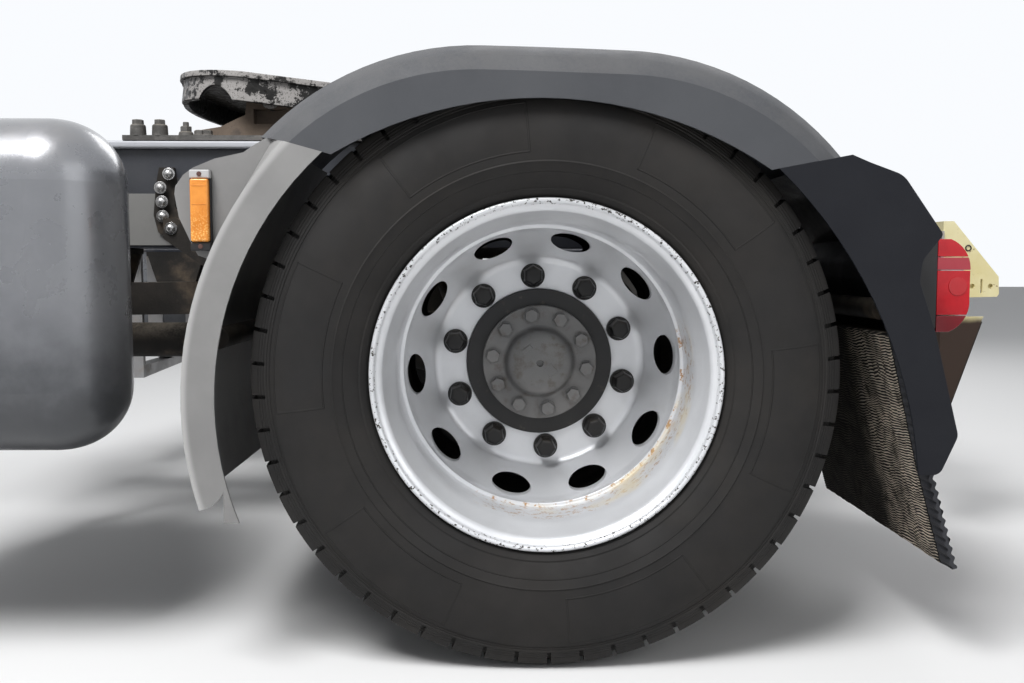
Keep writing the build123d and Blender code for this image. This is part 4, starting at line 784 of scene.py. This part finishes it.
def makeTyre(plane):
    half = tyre["section"]
    points = [(plane + along, radius, rounding) for along, radius, rounding in half]
    points += [(plane - along, radius, rounding) for along, radius, rounding in reversed(half)]
    steps = tyre["pitches"] * tyre["stepsPerPitch"]
    bm = spunRing(points, steps)
    shoulders, ribs = [], []
    for face in bm.faces:
        middle = face.calc_center_median()
        turn = math.atan2(middle.x - axle.x, middle.z - axle.z) / (2 * math.pi) * steps
        step = int(turn % tyre["stepsPerPitch"])
        side = 0 if middle.y > plane else 1
        away = abs(middle.y - plane)
        radius = axleDistance(middle)
        if step == tyre["shoulderSteps"][side] and away > tyre["shoulderFrom"] \
                and radius > tyre["shoulderOver"] and abs(face.normal.y) < tyre["flatSide"]:
            shoulders.append(face)
        elif step == tyre["ribSteps"][side] and tyre["ribFrom"] < away < tyre["ribTo"] \
                and radius > tyre["ribOver"]:
            ribs.append(face)
    sinkFaces(bm, shoulders, plane, tyre["notchDrop"], tyre["notchInset"])
    sinkFaces(bm, ribs, plane, tyre["notchDrop"], 0.0)
    return bm


def makeTyres():
    whole = bmesh.new()
    for plane in tyre["planes"]:
        part = makeTyre(plane)
        mesh = bpy.data.meshes.new("tyrePart")
        part.to_mesh(mesh)
        part.free()
        whole.from_mesh(mesh)
        bpy.data.meshes.remove(mesh)
    return whole


dressWheels(("tyres", makeTyres, "tyre_rubber", "tyres", 28.0))
print("tyres made")

# outer rims: the barrel with its dish, whose visible faces lie towards the outside
rim = {
    "steps": 160, "holes": 10, "holeCircle": 0.2355, "holePlane": 0.995, "holeHigh": 0.0155,
    "holeWide": 0.038, "holeSteps": 40, "cutterLength": 0.2, "firstHole": 22.32, "holeEdge": 0.0016,
    # the dish's cone, where only the hand holes have sharp edges: radii, places along the axle, degrees
    "coneRadii": (0.214, 0.2515), "conePlanes": (0.94, 1.05), "crease": 35,
    # columns: distance along the axle, radius, rounding
    "section": [(1.2263, 0.2985, 0.0035), (1.2170, 0.2985, 0.002), (1.2143, 0.2862, 0.003),
                (1.1840, 0.2777, 0.006), (1.1500, 0.2680, 0.010), (1.0300, 0.2680, 0.010),
                (1.0160, 0.2777, 0.006), (0.9857, 0.2862, 0.003), (0.9830, 0.2985, 0.002),
                (0.9737, 0.2985, 0.0035), (0.9737, 0.2912, 0.003), (0.9817, 0.2790, 0.005),
                (1.0140, 0.2708, 0.006), (1.0265, 0.2612, 0.003), (0.9250, 0.2080, 0.010),
                (0.9250, 0.1408, 0.002), (0.9370, 0.1408, 0.002), (0.9370, 0.2010, 0.012),
                (1.0340, 0.2540, 0.012), (1.0570, 0.2540, 0.0015), (1.0585, 0.2600, 0.0008),
                (1.0605, 0.2610, 0.0008), (1.1500, 0.2610, 0.014), (1.1820, 0.2708, 0.010),
                (1.2130, 0.2780, 0.006),
                (1.2185, 0.2880, 0.003), (1.2263, 0.2912, 0.0035)],
}


def isHoleEdge(edge):
    middle = (edge.verts[0].co + edge.verts[1].co) / 2
    return (rim["coneRadii"][0] < axleDistance(middle) < rim["coneRadii"][1]
            and rim["conePlanes"][0] < middle.y < rim["conePlanes"][1])


def makeRim():
    bm = spunRing(rim["section"], rim["steps"])
    cutters = bmesh.new()
    for index in range(rim["holes"]):
        turn = rim["firstHole"] + index * 360 / rim["holes"]
        made = bmesh.ops.create_cone(cutters, cap_ends=True, cap_tris=False, segments=rim["holeSteps"],
                                     radius1=1.0, radius2=1.0, depth=rim["cutterLength"])["verts"]
        bmesh.ops.scale(cutters, vec=(rim["holeWide"], rim["holeHigh"], 1), verts=made)
        spot = (Matrix.Translation(turnedPoint(rim["holeCircle"], turn, rim["holePlane"]))
                @ Matrix.Rotation(math.radians(turn), 4, "Y") @ Matrix.Rotation(math.radians(90), 4, "X"))
        bmesh.ops.transform(cutters, matrix=spot, verts=made)
    bmesh.ops.recalc_face_normals(cutters, faces=cutters.faces)
    bm = cutAway(bm, cutters)
    roundEdges(bm, [edge for edge in creases(bm, rim["crease"]) if isHoleEdge(edge)], rim["holeEdge"])
    return bm


def cutAway(bm, cutters):
    # takes one closed mesh out of another
    objects = []
    for name, source in (("whole", bm), ("cutter", cutters)):
        mesh = bpy.data.meshes.new(name)
        source.to_mesh(mesh)
        source.free()
        item = bpy.data.objects.new(name, mesh)
        bpy.context.scene.collection.objects.link(item)
        objects.append(item)
    whole, cutter = objects
    cut = whole.modifiers.new("cut", "BOOLEAN")
    cut.operation = "DIFFERENCE"
    cut.solver = "EXACT"
    cut.object = cutter
    bpy.context.view_layer.update()
    result = bmesh.new()
    result.from_object(whole, bpy.context.evaluated_depsgraph_get())
    for item in objects:
        mesh = item.data
        bpy.data.objects.remove(item)
        bpy.data.meshes.remove(mesh)
    return result


dressWheels(("rim.outer", makeRim, "rim_paint", "rim_outer", 32.0))
print("rims made")

# wheel nuts with their plastic caps: places along the axle, heights over the seat, radii
nut = {
    "count": 10, "circle": 0.1675, "firstTurn": 4.32, "seat": 0.937, "collarTop": 0.009, "waistTop": 0.0125,
    "tip": 0.975, "collar": 0.0235, "collarEdge": 0.002, "slope": (0.0215, 0.0195), "capSink": 0.004,
    "cap": (0.0215, 0.018), "capEdge": 0.006, "capTurn": 17.0,
}


def makeNuts():
    bm = bmesh.new()
    for index in range(nut["count"]):
        turn = nut["firstTurn"] + index * 360 / nut["count"]
        seat, collar, waist, capFoot, tip = [
            turnedPoint(nut["circle"], turn, along)
            for along in (nut["seat"], nut["seat"] + nut["collarTop"], nut["seat"] + nut["waistTop"],
                          nut["seat"] + nut["waistTop"] - nut["capSink"], nut["tip"])]
        addCone(bm, 32, seat, collar, nut["collar"], nut["collar"], nut["collarEdge"])
        addCone(bm, 32, collar, waist, *nut["slope"])
        addCone(bm, 6, capFoot, tip, *nut["cap"], nut["capEdge"], index * nut["capTurn"], 4)
    return bm


# the shaft's flange with its bolts and its domed cap, which has two cast lugs, one slim and one square
shaft = {
    # columns: distance along the axle, radius, rounding
    "section": [(0.947, 0.0, 0), (0.947, 0.110, 0.001), (0.961, 0.110, 0.002), (0.961, 0.070, 0.003),
                (0.965, 0.066, 0.002), (0.978, 0.060, 0.006), (0.9835, 0.046, 0.006),
                (0.986, 0.0065, 0.0005), (0.979, 0.0062, 0.0005), (0.979, 0.0, 0)],
    "steps": 96, "face": 0.961, "bolts": 10, "boltCircle": 0.091, "firstTurn": 10.0, "boltTurn": 23.0,
    "collarFoot": -0.001, "collarTop": 0.0028, "collar": 0.0158, "collarEdge": 0.001,
    "headFoot": 0.0018, "headTop": 0.0135, "head": (0.0146, 0.0140), "headEdge": 0.0024,
    # columns: ahead of the axle, over it, half width, half height
    "lugs": [(0.024, 0.026, 0.010, 0.0055), (-0.020, -0.014, 0.010, 0.011)],
    "lugPlane": 0.981, "lugHalf": 0.005, "lugEdge": 0.0016, "lugTurn": 38,
}


def makeShaftFlange():
    bm = spunRing(shaft["section"], shaft["steps"])
    for index in range(shaft["bolts"]):
        turn = shaft["firstTurn"] + index * 360 / shaft["bolts"]
        collarFoot, collarTop, headFoot, headTop = [
            turnedPoint(shaft["boltCircle"], turn, shaft["face"] + shaft[name])
            for name in ("collarFoot", "collarTop", "headFoot", "headTop")]
        addCone(bm, 28, collarFoot, collarTop, shaft["collar"], shaft["collar"], shaft["collarEdge"])
        addCone(bm, 6, headFoot, headTop, *shaft["head"], shaft["headEdge"], index * shaft["boltTurn"], 3)
    for x, z, halfWide, halfHigh in shaft["lugs"]:
        centre = fromAxle(x, shaft["lugPlane"], z)
        half = Vector((halfWide, shaft["lugHalf"], halfHigh))
        made = addBlock(bm, centre - half, centre + half, shaft["lugEdge"])
        bmesh.ops.rotate(bm, cent=centre, matrix=Matrix.Rotation(math.radians(shaft["lugTurn"]), 3, "Y"),
                         verts=made)
    return bm


dressWheels(("nutCaps", makeNuts, "cap_plastic", "wheel_nuts", 30.0),
            ("shaftFlange", makeShaftFlange, "hub_cast", "shaft_flange", 26.0))
print("nuts and flanges made")

# carried-over shapes that only need their edges worn round: node, bevel width, crease angle
wornEdges = {
    "mudguard_top": (0.0016, 50), "mudguard_front": (0.0016, 50), "mudguard_rear": (0.0022, 50),
    "frame_rails": (0.002, 50), "coupling_plate": (0.003, 45), "coupling_pedestals": (0.003, 45),
    "mudguard_arms": (0.0012, 45), "wheel_chock": (0.0018, 45), "tank_brackets": (0.0012, 60),
    "coupling_lock": (0.002, 45), "rear_crossmember": (0.0015, 50), "front_crossmember": (0.0015, 50),
}
# the front guard gets a lighter copy of the plastic (painted light), the rear guard a darker copy (painted
# shade)
wornFinish = {"mudguard_front": "guardLitDusty", "mudguard_rear": "guardShaded"}
railCorner = {"radius": 0.016, "segments": 6, "height": 0.1295, "outside": 0.3945}


def isRailCorner(edge):
    return all(vert.co.z > railCorner["height"] and abs(vert.co.y) > railCorner["outside"]
               for vert in edge.verts)


def wornRails(width, angle):
    # the rails with their upper outside corners rolled round, the other edges worn
    bm = mergedCopy("frame_rails")
    corner = [edge for edge in bm.edges if isRailCorner(edge)]
    roundEdges(bm, corner, railCorner["radius"], railCorner["segments"])
    roundEdges(bm, creases(bm, angle), width)
    return bm


for node, (width, angle) in wornEdges.items():
    name = "".join(word if index == 0 else word.title() for index, word in enumerate(node.split("_")))
    bm = wornRails(width, angle) if node == "frame_rails" else softened(node, width, angle)
    addPiece(name, bm, nodeSlots[node], nodeBodies[node], [node], sharp=38.0, finish=wornFinish.get(node))
print("edges worn round:", len(wornEdges))

# spray flaps: a ribbed sheet whose near edge is fluted
flap = {
    # columns: distance from the axle ahead, height over it, down the front face
    "line": [(-0.578, 0.068), (-0.590, 0.020), (-0.628, -0.140), (-0.680, -0.326)],
    "outside": 1.250, "inside": 0.625, "wall": 0.0075, "rows": 300, "columns": 74, "ribPitch": 0.0052,
    "ribDepth": 0.0014, "wander": 0.011, "fluteWidth": 0.040, "flutePitch": 0.0165, "fluteDepth": 0.0042,
    # columns: waves in a metre down the flap and across it, seed, strength
    "wanders": [(9, 16, 0.3, 1.0), (30, 45, 2.0, 0.4)], "patches": (40, 60, 5.0, 0.5), "patchMiddle": 0.65,
    "backDrop": 0.002,
}


def ripple(down, along, wavesDown, wavesAcross, seed, strength):
    return strength * fieldNoise.noise(Vector((down * wavesDown, along * wavesAcross, seed)))


def makeFlap():
    line = [Vector((axle.x + x, 0, axle.z + z)) for x, z in flap["line"]]
    runs = [(b - a).length for a, b in zip(line, line[1:])]
    total = sum(runs)
    bm = bmesh.new()
    bmesh.ops.create_grid(bm, x_segments=flap["rows"], y_segments=flap["columns"], size=0.5)
    ribLayer = bm.verts.layers.float.new("rib")
    width = flap["outside"] - flap["inside"]
    for vert in bm.verts:
        down = (vert.co.x + 0.5) * total
        along = flap["outside"] - (vert.co.y + 0.5) * width
        left = down
        for index, run in enumerate(runs):
            if left <= run or index == len(runs) - 1:
                break
            left -= run
        way = (line[index + 1] - line[index]).normalized()
        spot = line[index] + way * left
        out = Vector((-way.z, 0, way.x))
        fromEdge = flap["outside"] - along
        if fromEdge < flap["fluteWidth"]:
            wave = math.cos(2 * math.pi * down / flap["flutePitch"])
            depth = flap["fluteDepth"] * (0.5 * wave - 0.5) * (1 - (fromEdge / flap["fluteWidth"]) ** 4)
            vert[ribLayer] = -1.0
        else:
            wander = flap["wander"] * sum(ripple(down, along, *row) for row in flap["wanders"])
            wave = math.cos(2 * math.pi * (down + wander) / flap["ribPitch"])
            patchy = flap["patchMiddle"] + ripple(down, along, *flap["patches"])
            depth = flap["ribDepth"] * (wave - 1) * 0.5
            vert[ribLayer] = max(0.0, wave) * patchy
        vert.co = spot + out * depth + Vector((0, along, 0))
    bmesh.ops.recalc_face_normals(bm, faces=bm.faces)
    border = [edge for edge in bm.edges if edge.is_boundary]
    made = bmesh.ops.extrude_edge_only(bm, edges=border)["geom"]
    back = Vector((-flap["wall"], 0, flap["backDrop"]))
    backVerts = [item for item in made if isinstance(item, bmesh.types.BMVert)]
    bmesh.ops.translate(bm, vec=back, verts=backVerts)
    closeHoles(bm)
    bmesh.ops.recalc_face_normals(bm, faces=bm.faces)
    addTwin(bm)
    return bm


addPiece("mudFlaps", makeFlap(), "flap_rubber", "chassis", ["mudflaps"], sharp=60.0)
print("flaps made")

# side marker lamps: a base with two screwed ends and a prismatic lens between them
marker = {
    "centre": (0.566, 1.226, 0.2754), "width": 0.033, "length": 0.131, "lensLength": 0.103, "base": 0.004,
    "baseEdge": 0.0012, "endSink": 0.0005, "endHeight": 0.0155, "endEdge": 0.0025,
    "screw": (0.0042, 0.00378), "screwFoot": 0.0135, "screwTop": 0.0169, "screwEdge": 0.0006,
    "wall": 0.0012, "wallHeight": (0.001, 0.012), "wallEdge": 0.0004,
    "lensInset": (0.0015, 0.0008), "lensHeight": (0.003, 0.020), "lensEdge": 0.0035,
    # upright flutes: half width, height, distance from the lens's sides, its lower and its upper end
    "flutes": 5, "fluteHalf": 0.0014, "fluteHeight": (0.012, 0.0204), "fluteSide": 0.006, "fluteLow": 0.006,
    "fluteHigh": 0.045, "fluteEdge": 0.0009,
    # the raised frame of the reflector's window: distances under the lens's top
    "lines": [(0.010, 0.012), (0.040, 0.042)], "lineHeight": (0.012, 0.0207), "lineSide": 0.003,
    "lineEdge": 0.0006,
}


def addMarkerBlock(bm, wide, out, high, edge, segments=2):
    # a block on the lamp's own axes: ranges across it, outwards and up
    corners = [Vector(marker["centre"]) + Vector((x, y, z)) for x, y, z in zip(wide, out, high)]
    addBlock(bm, fromAxle(*corners[0]), fromAxle(*corners[1]), edge, segments)


def makeMarkerEnd(direction):
    bm = bmesh.new()
    half = marker["width"] / 2
    reach = sorted((direction * marker["lensLength"] / 2, direction * marker["length"] / 2))
    addMarkerBlock(bm, (-half, half), (marker["endSink"], marker["endHeight"]), reach, marker["endEdge"], 3)
    return bm


def makeMarkerBase():
    bm = makeMarkerEnd(-1)
    half, reach = marker["width"] / 2, marker["length"] / 2
    addMarkerBlock(bm, (-half, half), (0, marker["base"]), (-reach, reach), marker["baseEdge"])
    reach = marker["lensLength"] / 2
    for side in (-1, 1):
        wall = sorted((side * (half - marker["wall"]), side * half))
        addMarkerBlock(bm, wall, marker["wallHeight"], (-reach, reach), marker["wallEdge"])
    addTwin(bm)
    return bm


def makeMarkerUpperEnd():
    bm = makeMarkerEnd(1)
    addTwin(bm)
    return bm


def makeMarkerScrews():
    x, y, z = marker["centre"]
    bm = bmesh.new()
    for direction in (-1, 1):
        middle = z + direction * (marker["lensLength"] + marker["length"]) / 4
        foot, top = [fromAxle(x, y + marker[name], middle) for name in ("screwFoot", "screwTop")]
        addCone(bm, 20, foot, top, *marker["screw"], marker["screwEdge"])
    addTwin(bm)
    return bm


def makeMarkerLens():
    bm = bmesh.new()
    half = marker["width"] / 2 - marker["lensInset"][0]
    reach = marker["lensLength"] / 2 - marker["lensInset"][1]
    addMarkerBlock(bm, (-half, half), marker["lensHeight"], (-reach, reach), marker["lensEdge"], 4)
    first = marker["fluteSide"] - half
    for index in range(marker["flutes"]):
        spot = first - 2 * first * index / (marker["flutes"] - 1)
        addMarkerBlock(bm, (spot - marker["fluteHalf"], spot + marker["fluteHalf"]), marker["fluteHeight"],
                       (marker["fluteLow"] - reach, reach - marker["fluteHigh"]), marker["fluteEdge"])
    side = half - marker["lineSide"]
    for low, high in marker["lines"]:
        addMarkerBlock(bm, (-side, side), marker["lineHeight"], (reach - high, reach - low),
                       marker["lineEdge"])
    addTwin(bm)
    return bm


addPiece("markerBase", makeMarkerBase(), "lamp_plastic", "chassis", ["marker_lamp_bodies"], sharp=40.0)
# the upper end is painted light grey as a painted highlight
addPiece("markerEnd", makeMarkerUpperEnd(), "lamp_plastic", "chassis", sharp=40.0, finish="markerEndHighlight")
addPiece("markerScrews", makeMarkerScrews(), "lamp_plastic", "chassis", sharp=40.0, finish="screwBrown")
addPiece("markerLens", makeMarkerLens(), "lens_amber", "chassis", ["marker_lamp_lenses"], sharp=40.0)

# tail lamps: the lens in bands, each a slice of the carried-over shape, with a round reflector on its side
tailLamp = {
    # columns: lower height over the axle, upper height, finish
    "bands": [(0.067, 0.097, "lensDeep"), (0.0985, 0.177, "lensRed"), (0.1785, 0.2005, "lensPink"),
              (0.202, 0.234, "lensRed")],
    "reflector": (-0.7345, 1.1248, 0.1495), "reflectorRadius": 0.0165, "reflectorHeight": 0.0018,
    "seam": 0.0008, "bodyEdge": 0.002,
}


def makeLensBand(low, high):
    bm = mergedCopy("tail_lamp_lenses")
    cutLevel(bm, axle.z + low, -1)
    cutLevel(bm, axle.z + high, 1)
    bmesh.ops.recalc_face_normals(bm, faces=bm.faces)
    roundEdges(bm, creases(bm, 40.0), tailLamp["seam"])
    return bm


def makeReflector():
    x, y, z = tailLamp["reflector"]
    radius = tailLamp["reflectorRadius"]
    bm = bmesh.new()
    addCone(bm, 40, fromAxle(x, y, z), fromAxle(x, y + tailLamp["reflectorHeight"], z), radius, radius,
            tailLamp["seam"])
    addTwin(bm)
    return bm


for index, (low, high, finish) in enumerate(tailLamp["bands"]):
    addPiece(f"tailLens{index}", makeLensBand(low, high), "lens_red", "chassis", ["tail_lamp_lenses"],
             sharp=35.0, finish=finish)
addPiece("tailReflector", makeReflector(), "lens_red", "chassis", sharp=35.0, finish="lensPrism")
addPiece("tailBodies", softened("tail_lamp_bodies", tailLamp["bodyEdge"], 45.0), "lamp_plastic", "chassis",
         ["tail_lamp_bodies"], sharp=38.0)
print("lamps made")

# mounting plate of the coupling, with sleeved bolts ahead and plain ones behind
mountPlate = {
    "deck": 0.142, "cut": 0.1422, "boltAlong": 0.397, "turn": 13.0,
    # columns: distance ahead of the axle, kind
    "bolts": [(0.953, "sleeve"), (0.900, "sleeve"), (0.837, "nut"), (0.804, "low"), (0.785, "low"),
              (0.466, "low"), (0.433, "nut")],
    # columns: sides, lower height, upper height, lower radius, upper radius, bevel
    "kinds": {
        "sleeve": [(32, -0.001, 0.0275, 0.0195, 0.0180, 0.0045), (6, 0.027, 0.0388, 0.0140, 0.0136, 0.0014)],
        "nut": [(32, -0.001, 0.0100, 0.0185, 0.0165, 0.003), (6, 0.009, 0.0230, 0.0142, 0.0140, 0.0015),
                (20, 0.022, 0.0335, 0.0075, 0.0070, 0.0012)],
        "low": [(28, -0.001, 0.0035, 0.0155, 0.0150, 0.001), (6, 0.003, 0.0140, 0.0128, 0.0122, 0.0016)],
    },
}


def makeMountPlate():
    # the plate without its own bolts, which stand above the cut
    bm = mergedCopy("coupling_mount_plate")
    cutLevel(bm, mountPlate["cut"], 1)
    for index, (x, kind) in enumerate(mountPlate["bolts"]):
        for sign in (-1, 1):
            foot = Vector((axle.x + x, sign * mountPlate["boltAlong"], mountPlate["deck"]))
            addTowers(bm, foot, mountPlate["kinds"][kind], turn=index * mountPlate["turn"])
    return bm


addPiece("mountPlate", makeMountPlate(), "frame_paint", "chassis", ["coupling_mount_plate"], sharp=32.0,
         finish="plateSteel")

# bright domed bolts on the guards' brackets
bracket = {
    # columns: ahead of the axle, out from the middle, over the axle
    "places": [(0.895, 0.421, 0.375), (0.892, 0.421, 0.341), (0.891, 0.421, 0.306), (0.866, 0.440, 0.276),
               (0.874, 0.421, 0.408)],
    "washer": [(28, -0.001, 0.003, 0.0150, 0.0150, 0.0008)], "dome": 0.0118, "domeFoot": 0.003,
    "domeFlat": 0.85,
}


def makeBracketBolts():
    bm = bmesh.new()
    for place in bracket["places"]:
        foot = fromAxle(*place)
        addTowers(bm, foot, bracket["washer"], Vector((0, 1, 0)))
        made = bmesh.ops.create_uvsphere(bm, u_segments=24, v_segments=14, radius=bracket["dome"])["verts"]
        bmesh.ops.scale(bm, vec=(1, bracket["domeFlat"], 1), verts=made)
        bmesh.ops.translate(bm, vec=foot + Vector((0, bracket["domeFoot"], 0)), verts=made)
    addTwin(bm)
    return bm


addPiece("bracketBolts", makeBracketBolts(), "strap_metal", "chassis", sharp=35.0, finish="boltBright")

# a pale grey block on the lower part of each rail's web, painted light standing for the sunlit web, and the
# pale strip along its top
# columns: name, two corners from the axle, rounding, its segments, smoothing, finish
railPanels = [
    ("webSunPatches", (0.700, 0.3955, 0.236), (1.180, 0.3985, 0.362), 0.001, 2, 35.0, "webSunPatch"),
    ("railStrips", (0.520, 0.3945, 0.4705), (1.470, 0.4155, 0.4895), 0.0065, 5, 50.0, "stripPale"),
]
for name, low, high, edge, segments, sharp, finish in railPanels:
    bm = bmesh.new()
    addBlock(bm, fromAxle(*low), fromAxle(*high), edge, segments)
    addTwin(bm)
    addPiece(name, bm, "frame_paint", "chassis", sharp=sharp, finish=finish)
print("bolts and panels made")

# black strips on the top guards' front ends, painted shade for the dark gap where they lap over the front
# ones
seam = {"forward": 0.30, "ahead": 0.20, "run": 0.0045, "square": 0.35}


def isEndFace(face):
    # whether a face closes the guard's front end, square to its sweep
    middle = face.calc_center_median()
    return (face.normal.x > seam["forward"] and middle.x > axle.x + seam["ahead"]
            and abs(face.normal.dot(outward(middle))) < seam["square"]
            and abs(face.normal.y) < seam["square"])


def makeSeamShade():
    bm = mergedCopy("mudguard_top")
    ends = [face for face in bm.faces if isEndFace(face)]
    moved = [(face.normal.copy(), [vert.co.copy() for vert in face.verts]) for face in ends]
    bm.clear()
    for normal, points in moved:
        low = [bm.verts.new(point) for point in points]
        high = [bm.verts.new(point + normal * seam["run"]) for point in points]
        bm.faces.new(high)
        bm.faces.new(low[::-1])
        for index in range(len(points)):
            after = (index + 1) % len(points)
            bm.faces.new((low[index], low[after], high[after], high[index]))
    bmesh.ops.remove_doubles(bm, verts=bm.verts, dist=weldGap)
    bmesh.ops.recalc_face_normals(bm, faces=bm.faces)
    print("seam faces:", len(moved))
    return bm


addPiece("guardSeamShade", makeSeamShade(), "lamp_plastic", "chassis", sharp=35.0)

# wheel chock: the clip's ring, and the teeth down its face
chock = {
    "side": 0.470, "inside": 0.318, "ring": (-1.068, 0.229), "ringRadius": 0.0065, "wire": 0.0016,
    "ringSeat": 0.00096, "teeth": 7, "faceHigh": (-1.1085, 0.050), "faceLow": (-1.036, -0.160),
    "toothHalf": 0.002, "toothHeight": 0.004, "toothRoot": -0.0024, "toothMargin": 0.008,
}


def addRing(bm, centre, facing, radius, wire, steps=28, sides=10):
    # a closed ring of round wire
    side = facing.orthogonal().normalized()
    up = facing.cross(side)
    rows = []
    for index in range(steps):
        angle = 2 * math.pi * index / steps
        out = side * math.cos(angle) + up * math.sin(angle)
        turns = [2 * math.pi * part / sides for part in range(sides)]
        rows.append([bm.verts.new(centre + out * (radius + wire * math.cos(turn))
                                  + facing * (wire * math.sin(turn))) for turn in turns])
    for index, row in enumerate(rows):
        after = rows[(index + 1) % steps]
        for part in range(sides):
            follow = (part + 1) % sides
            bm.faces.new((row[part], after[part], after[follow], row[follow]))


def makeChockTrim():
    bm = bmesh.new()
    x, z = chock["ring"]
    middle = fromAxle(x, chock["side"] + chock["ringSeat"], z)
    addRing(bm, middle, Vector((0.0, 1.0, 0.0)), chock["ringRadius"], chock["wire"])
    high, low = chock["faceHigh"], chock["faceLow"]
    first = chock["side"] - chock["toothMargin"]
    pitch = (first - chock["inside"] - chock["toothMargin"]) / (chock["teeth"] - 1)
    run = Vector((low[0] - high[0], 0, low[1] - high[1])).normalized()
    out = Vector((run.z, 0, -run.x))
    for index in range(chock["teeth"]):
        y = first - index * pitch
        corners = [fromAxle(x, y + sign * chock["toothHalf"], z) + out * reach for x, z in (high, low)
                   for sign in (-1, 1) for reach in (chock["toothRoot"], chock["toothHeight"])]
        hull = bmesh.ops.convex_hull(bm, input=[bm.verts.new(corner) for corner in corners])
        loose = [item for item in hull["geom_interior"] + hull["geom_unused"]
                 if isinstance(item, bmesh.types.BMVert)]
        bmesh.ops.delete(bm, geom=loose, context="VERTS")
    bmesh.ops.recalc_face_normals(bm, faces=bm.faces)
    return bm


# ring and teeth take the near-black axle finish; on the teeth it goes with the painted shade of the chock's
# lower part
addPiece("chockTrim", makeChockTrim(), "axle_paint", "chassis", sharp=35.0)
print("seams and chock trim made")

# studio: floor, world, lights and the photo's camera
studio = {
    "cameraPlace": (-1.3838, 2.8776, -0.1749), "turn": 1.28, "dip": 4.33, "lens": 35.0, "sensor": 36.0,
    "floorHalf": 30.0, "floorTone": 0.80, "floorRoughness": 0.9,
    "worldColour": (0.95, 0.97, 1.0, 1), "worldLight": 0.26, "worldSeen": 1.0,
    # columns: name, place, size, power, aim
    "lights": [("key", (0.4, 3.6, 4.4), 2.4, 400, (-1.4, 0.6, -0.2)),
               ("fill", (-4.8, 4.0, 1.6), 3.0, 40, (-1.5, 0.6, -0.2)),
               ("back", (-2.5, -4.5, 3.5), 3.0, 110, (-1.4, 0, 0))],
}


def makeCamera(scene):
    turn, dip = math.radians(studio["turn"]), math.radians(studio["dip"])
    forward = Vector((-math.sin(turn) * math.cos(dip), -math.cos(turn) * math.cos(dip), -math.sin(dip)))
    data = bpy.data.cameras.new("camera")
    data.lens = studio["lens"]
    data.sensor_width = studio["sensor"]
    camera = bpy.data.objects.new("camera", data)
    camera.location = studio["cameraPlace"]
    camera.rotation_euler = forward.to_track_quat("-Z", "Y").to_euler()
    scene.collection.objects.link(camera)
    scene.camera = camera


def makeFloor(scene):
    bm = bmesh.new()
    bmesh.ops.create_grid(bm, x_segments=1, y_segments=1, size=studio["floorHalf"])
    mesh = bpy.data.meshes.new("floor")
    bm.to_mesh(mesh)
    bm.free()
    floor = bpy.data.objects.new("floor", mesh)
    floor.location = (axle.x, 0, axle.z - tyreRadius)
    scene.collection.objects.link(floor)
    material = bpy.data.materials.new("floorPale")
    material.use_nodes = True
    shader = material.node_tree.nodes["Principled BSDF"]
    shader.inputs["Base Color"].default_value = (*[studio["floorTone"]] * 3, 1)
    shader.inputs["Roughness"].default_value = studio["floorRoughness"]
    floor.data.materials.append(material)


def makeWorld(scene):
    # brighter where the camera and reflections see it than as a light
    world = bpy.data.worlds.new("studio")
    scene.world = world
    world.use_nodes = True
    tree = world.node_tree
    path = addNode(tree, "ShaderNodeLightPath").outputs
    seen = calc(tree, "MAXIMUM", calc(tree, "MAXIMUM", path["Is Camera Ray"], path["Is Glossy Ray"]),
                path["Is Transmission Ray"])
    background = tree.nodes["Background"]
    background.inputs["Color"].default_value = studio["worldColour"]
    feed(tree, background.inputs["Strength"],
         span(tree, seen, 0.0, 1.0, studio["worldLight"], studio["worldSeen"]))


def makeLights(scene):
    for name, spot, size, power, aim in studio["lights"]:
        light = bpy.data.lights.new(name, "AREA")
        light.size = size
        light.energy = power
        lamp = bpy.data.objects.new(name, light)
        lamp.location = spot
        lamp.rotation_euler = (Vector(aim) - Vector(spot)).to_track_quat("-Z", "Y").to_euler()
        scene.collection.objects.link(lamp)


bpy.context.scene.view_settings.view_transform = "Standard"
for make in (makeCamera, makeFloor, makeWorld, makeLights):
    make(bpy.context.scene)
print("studio made")
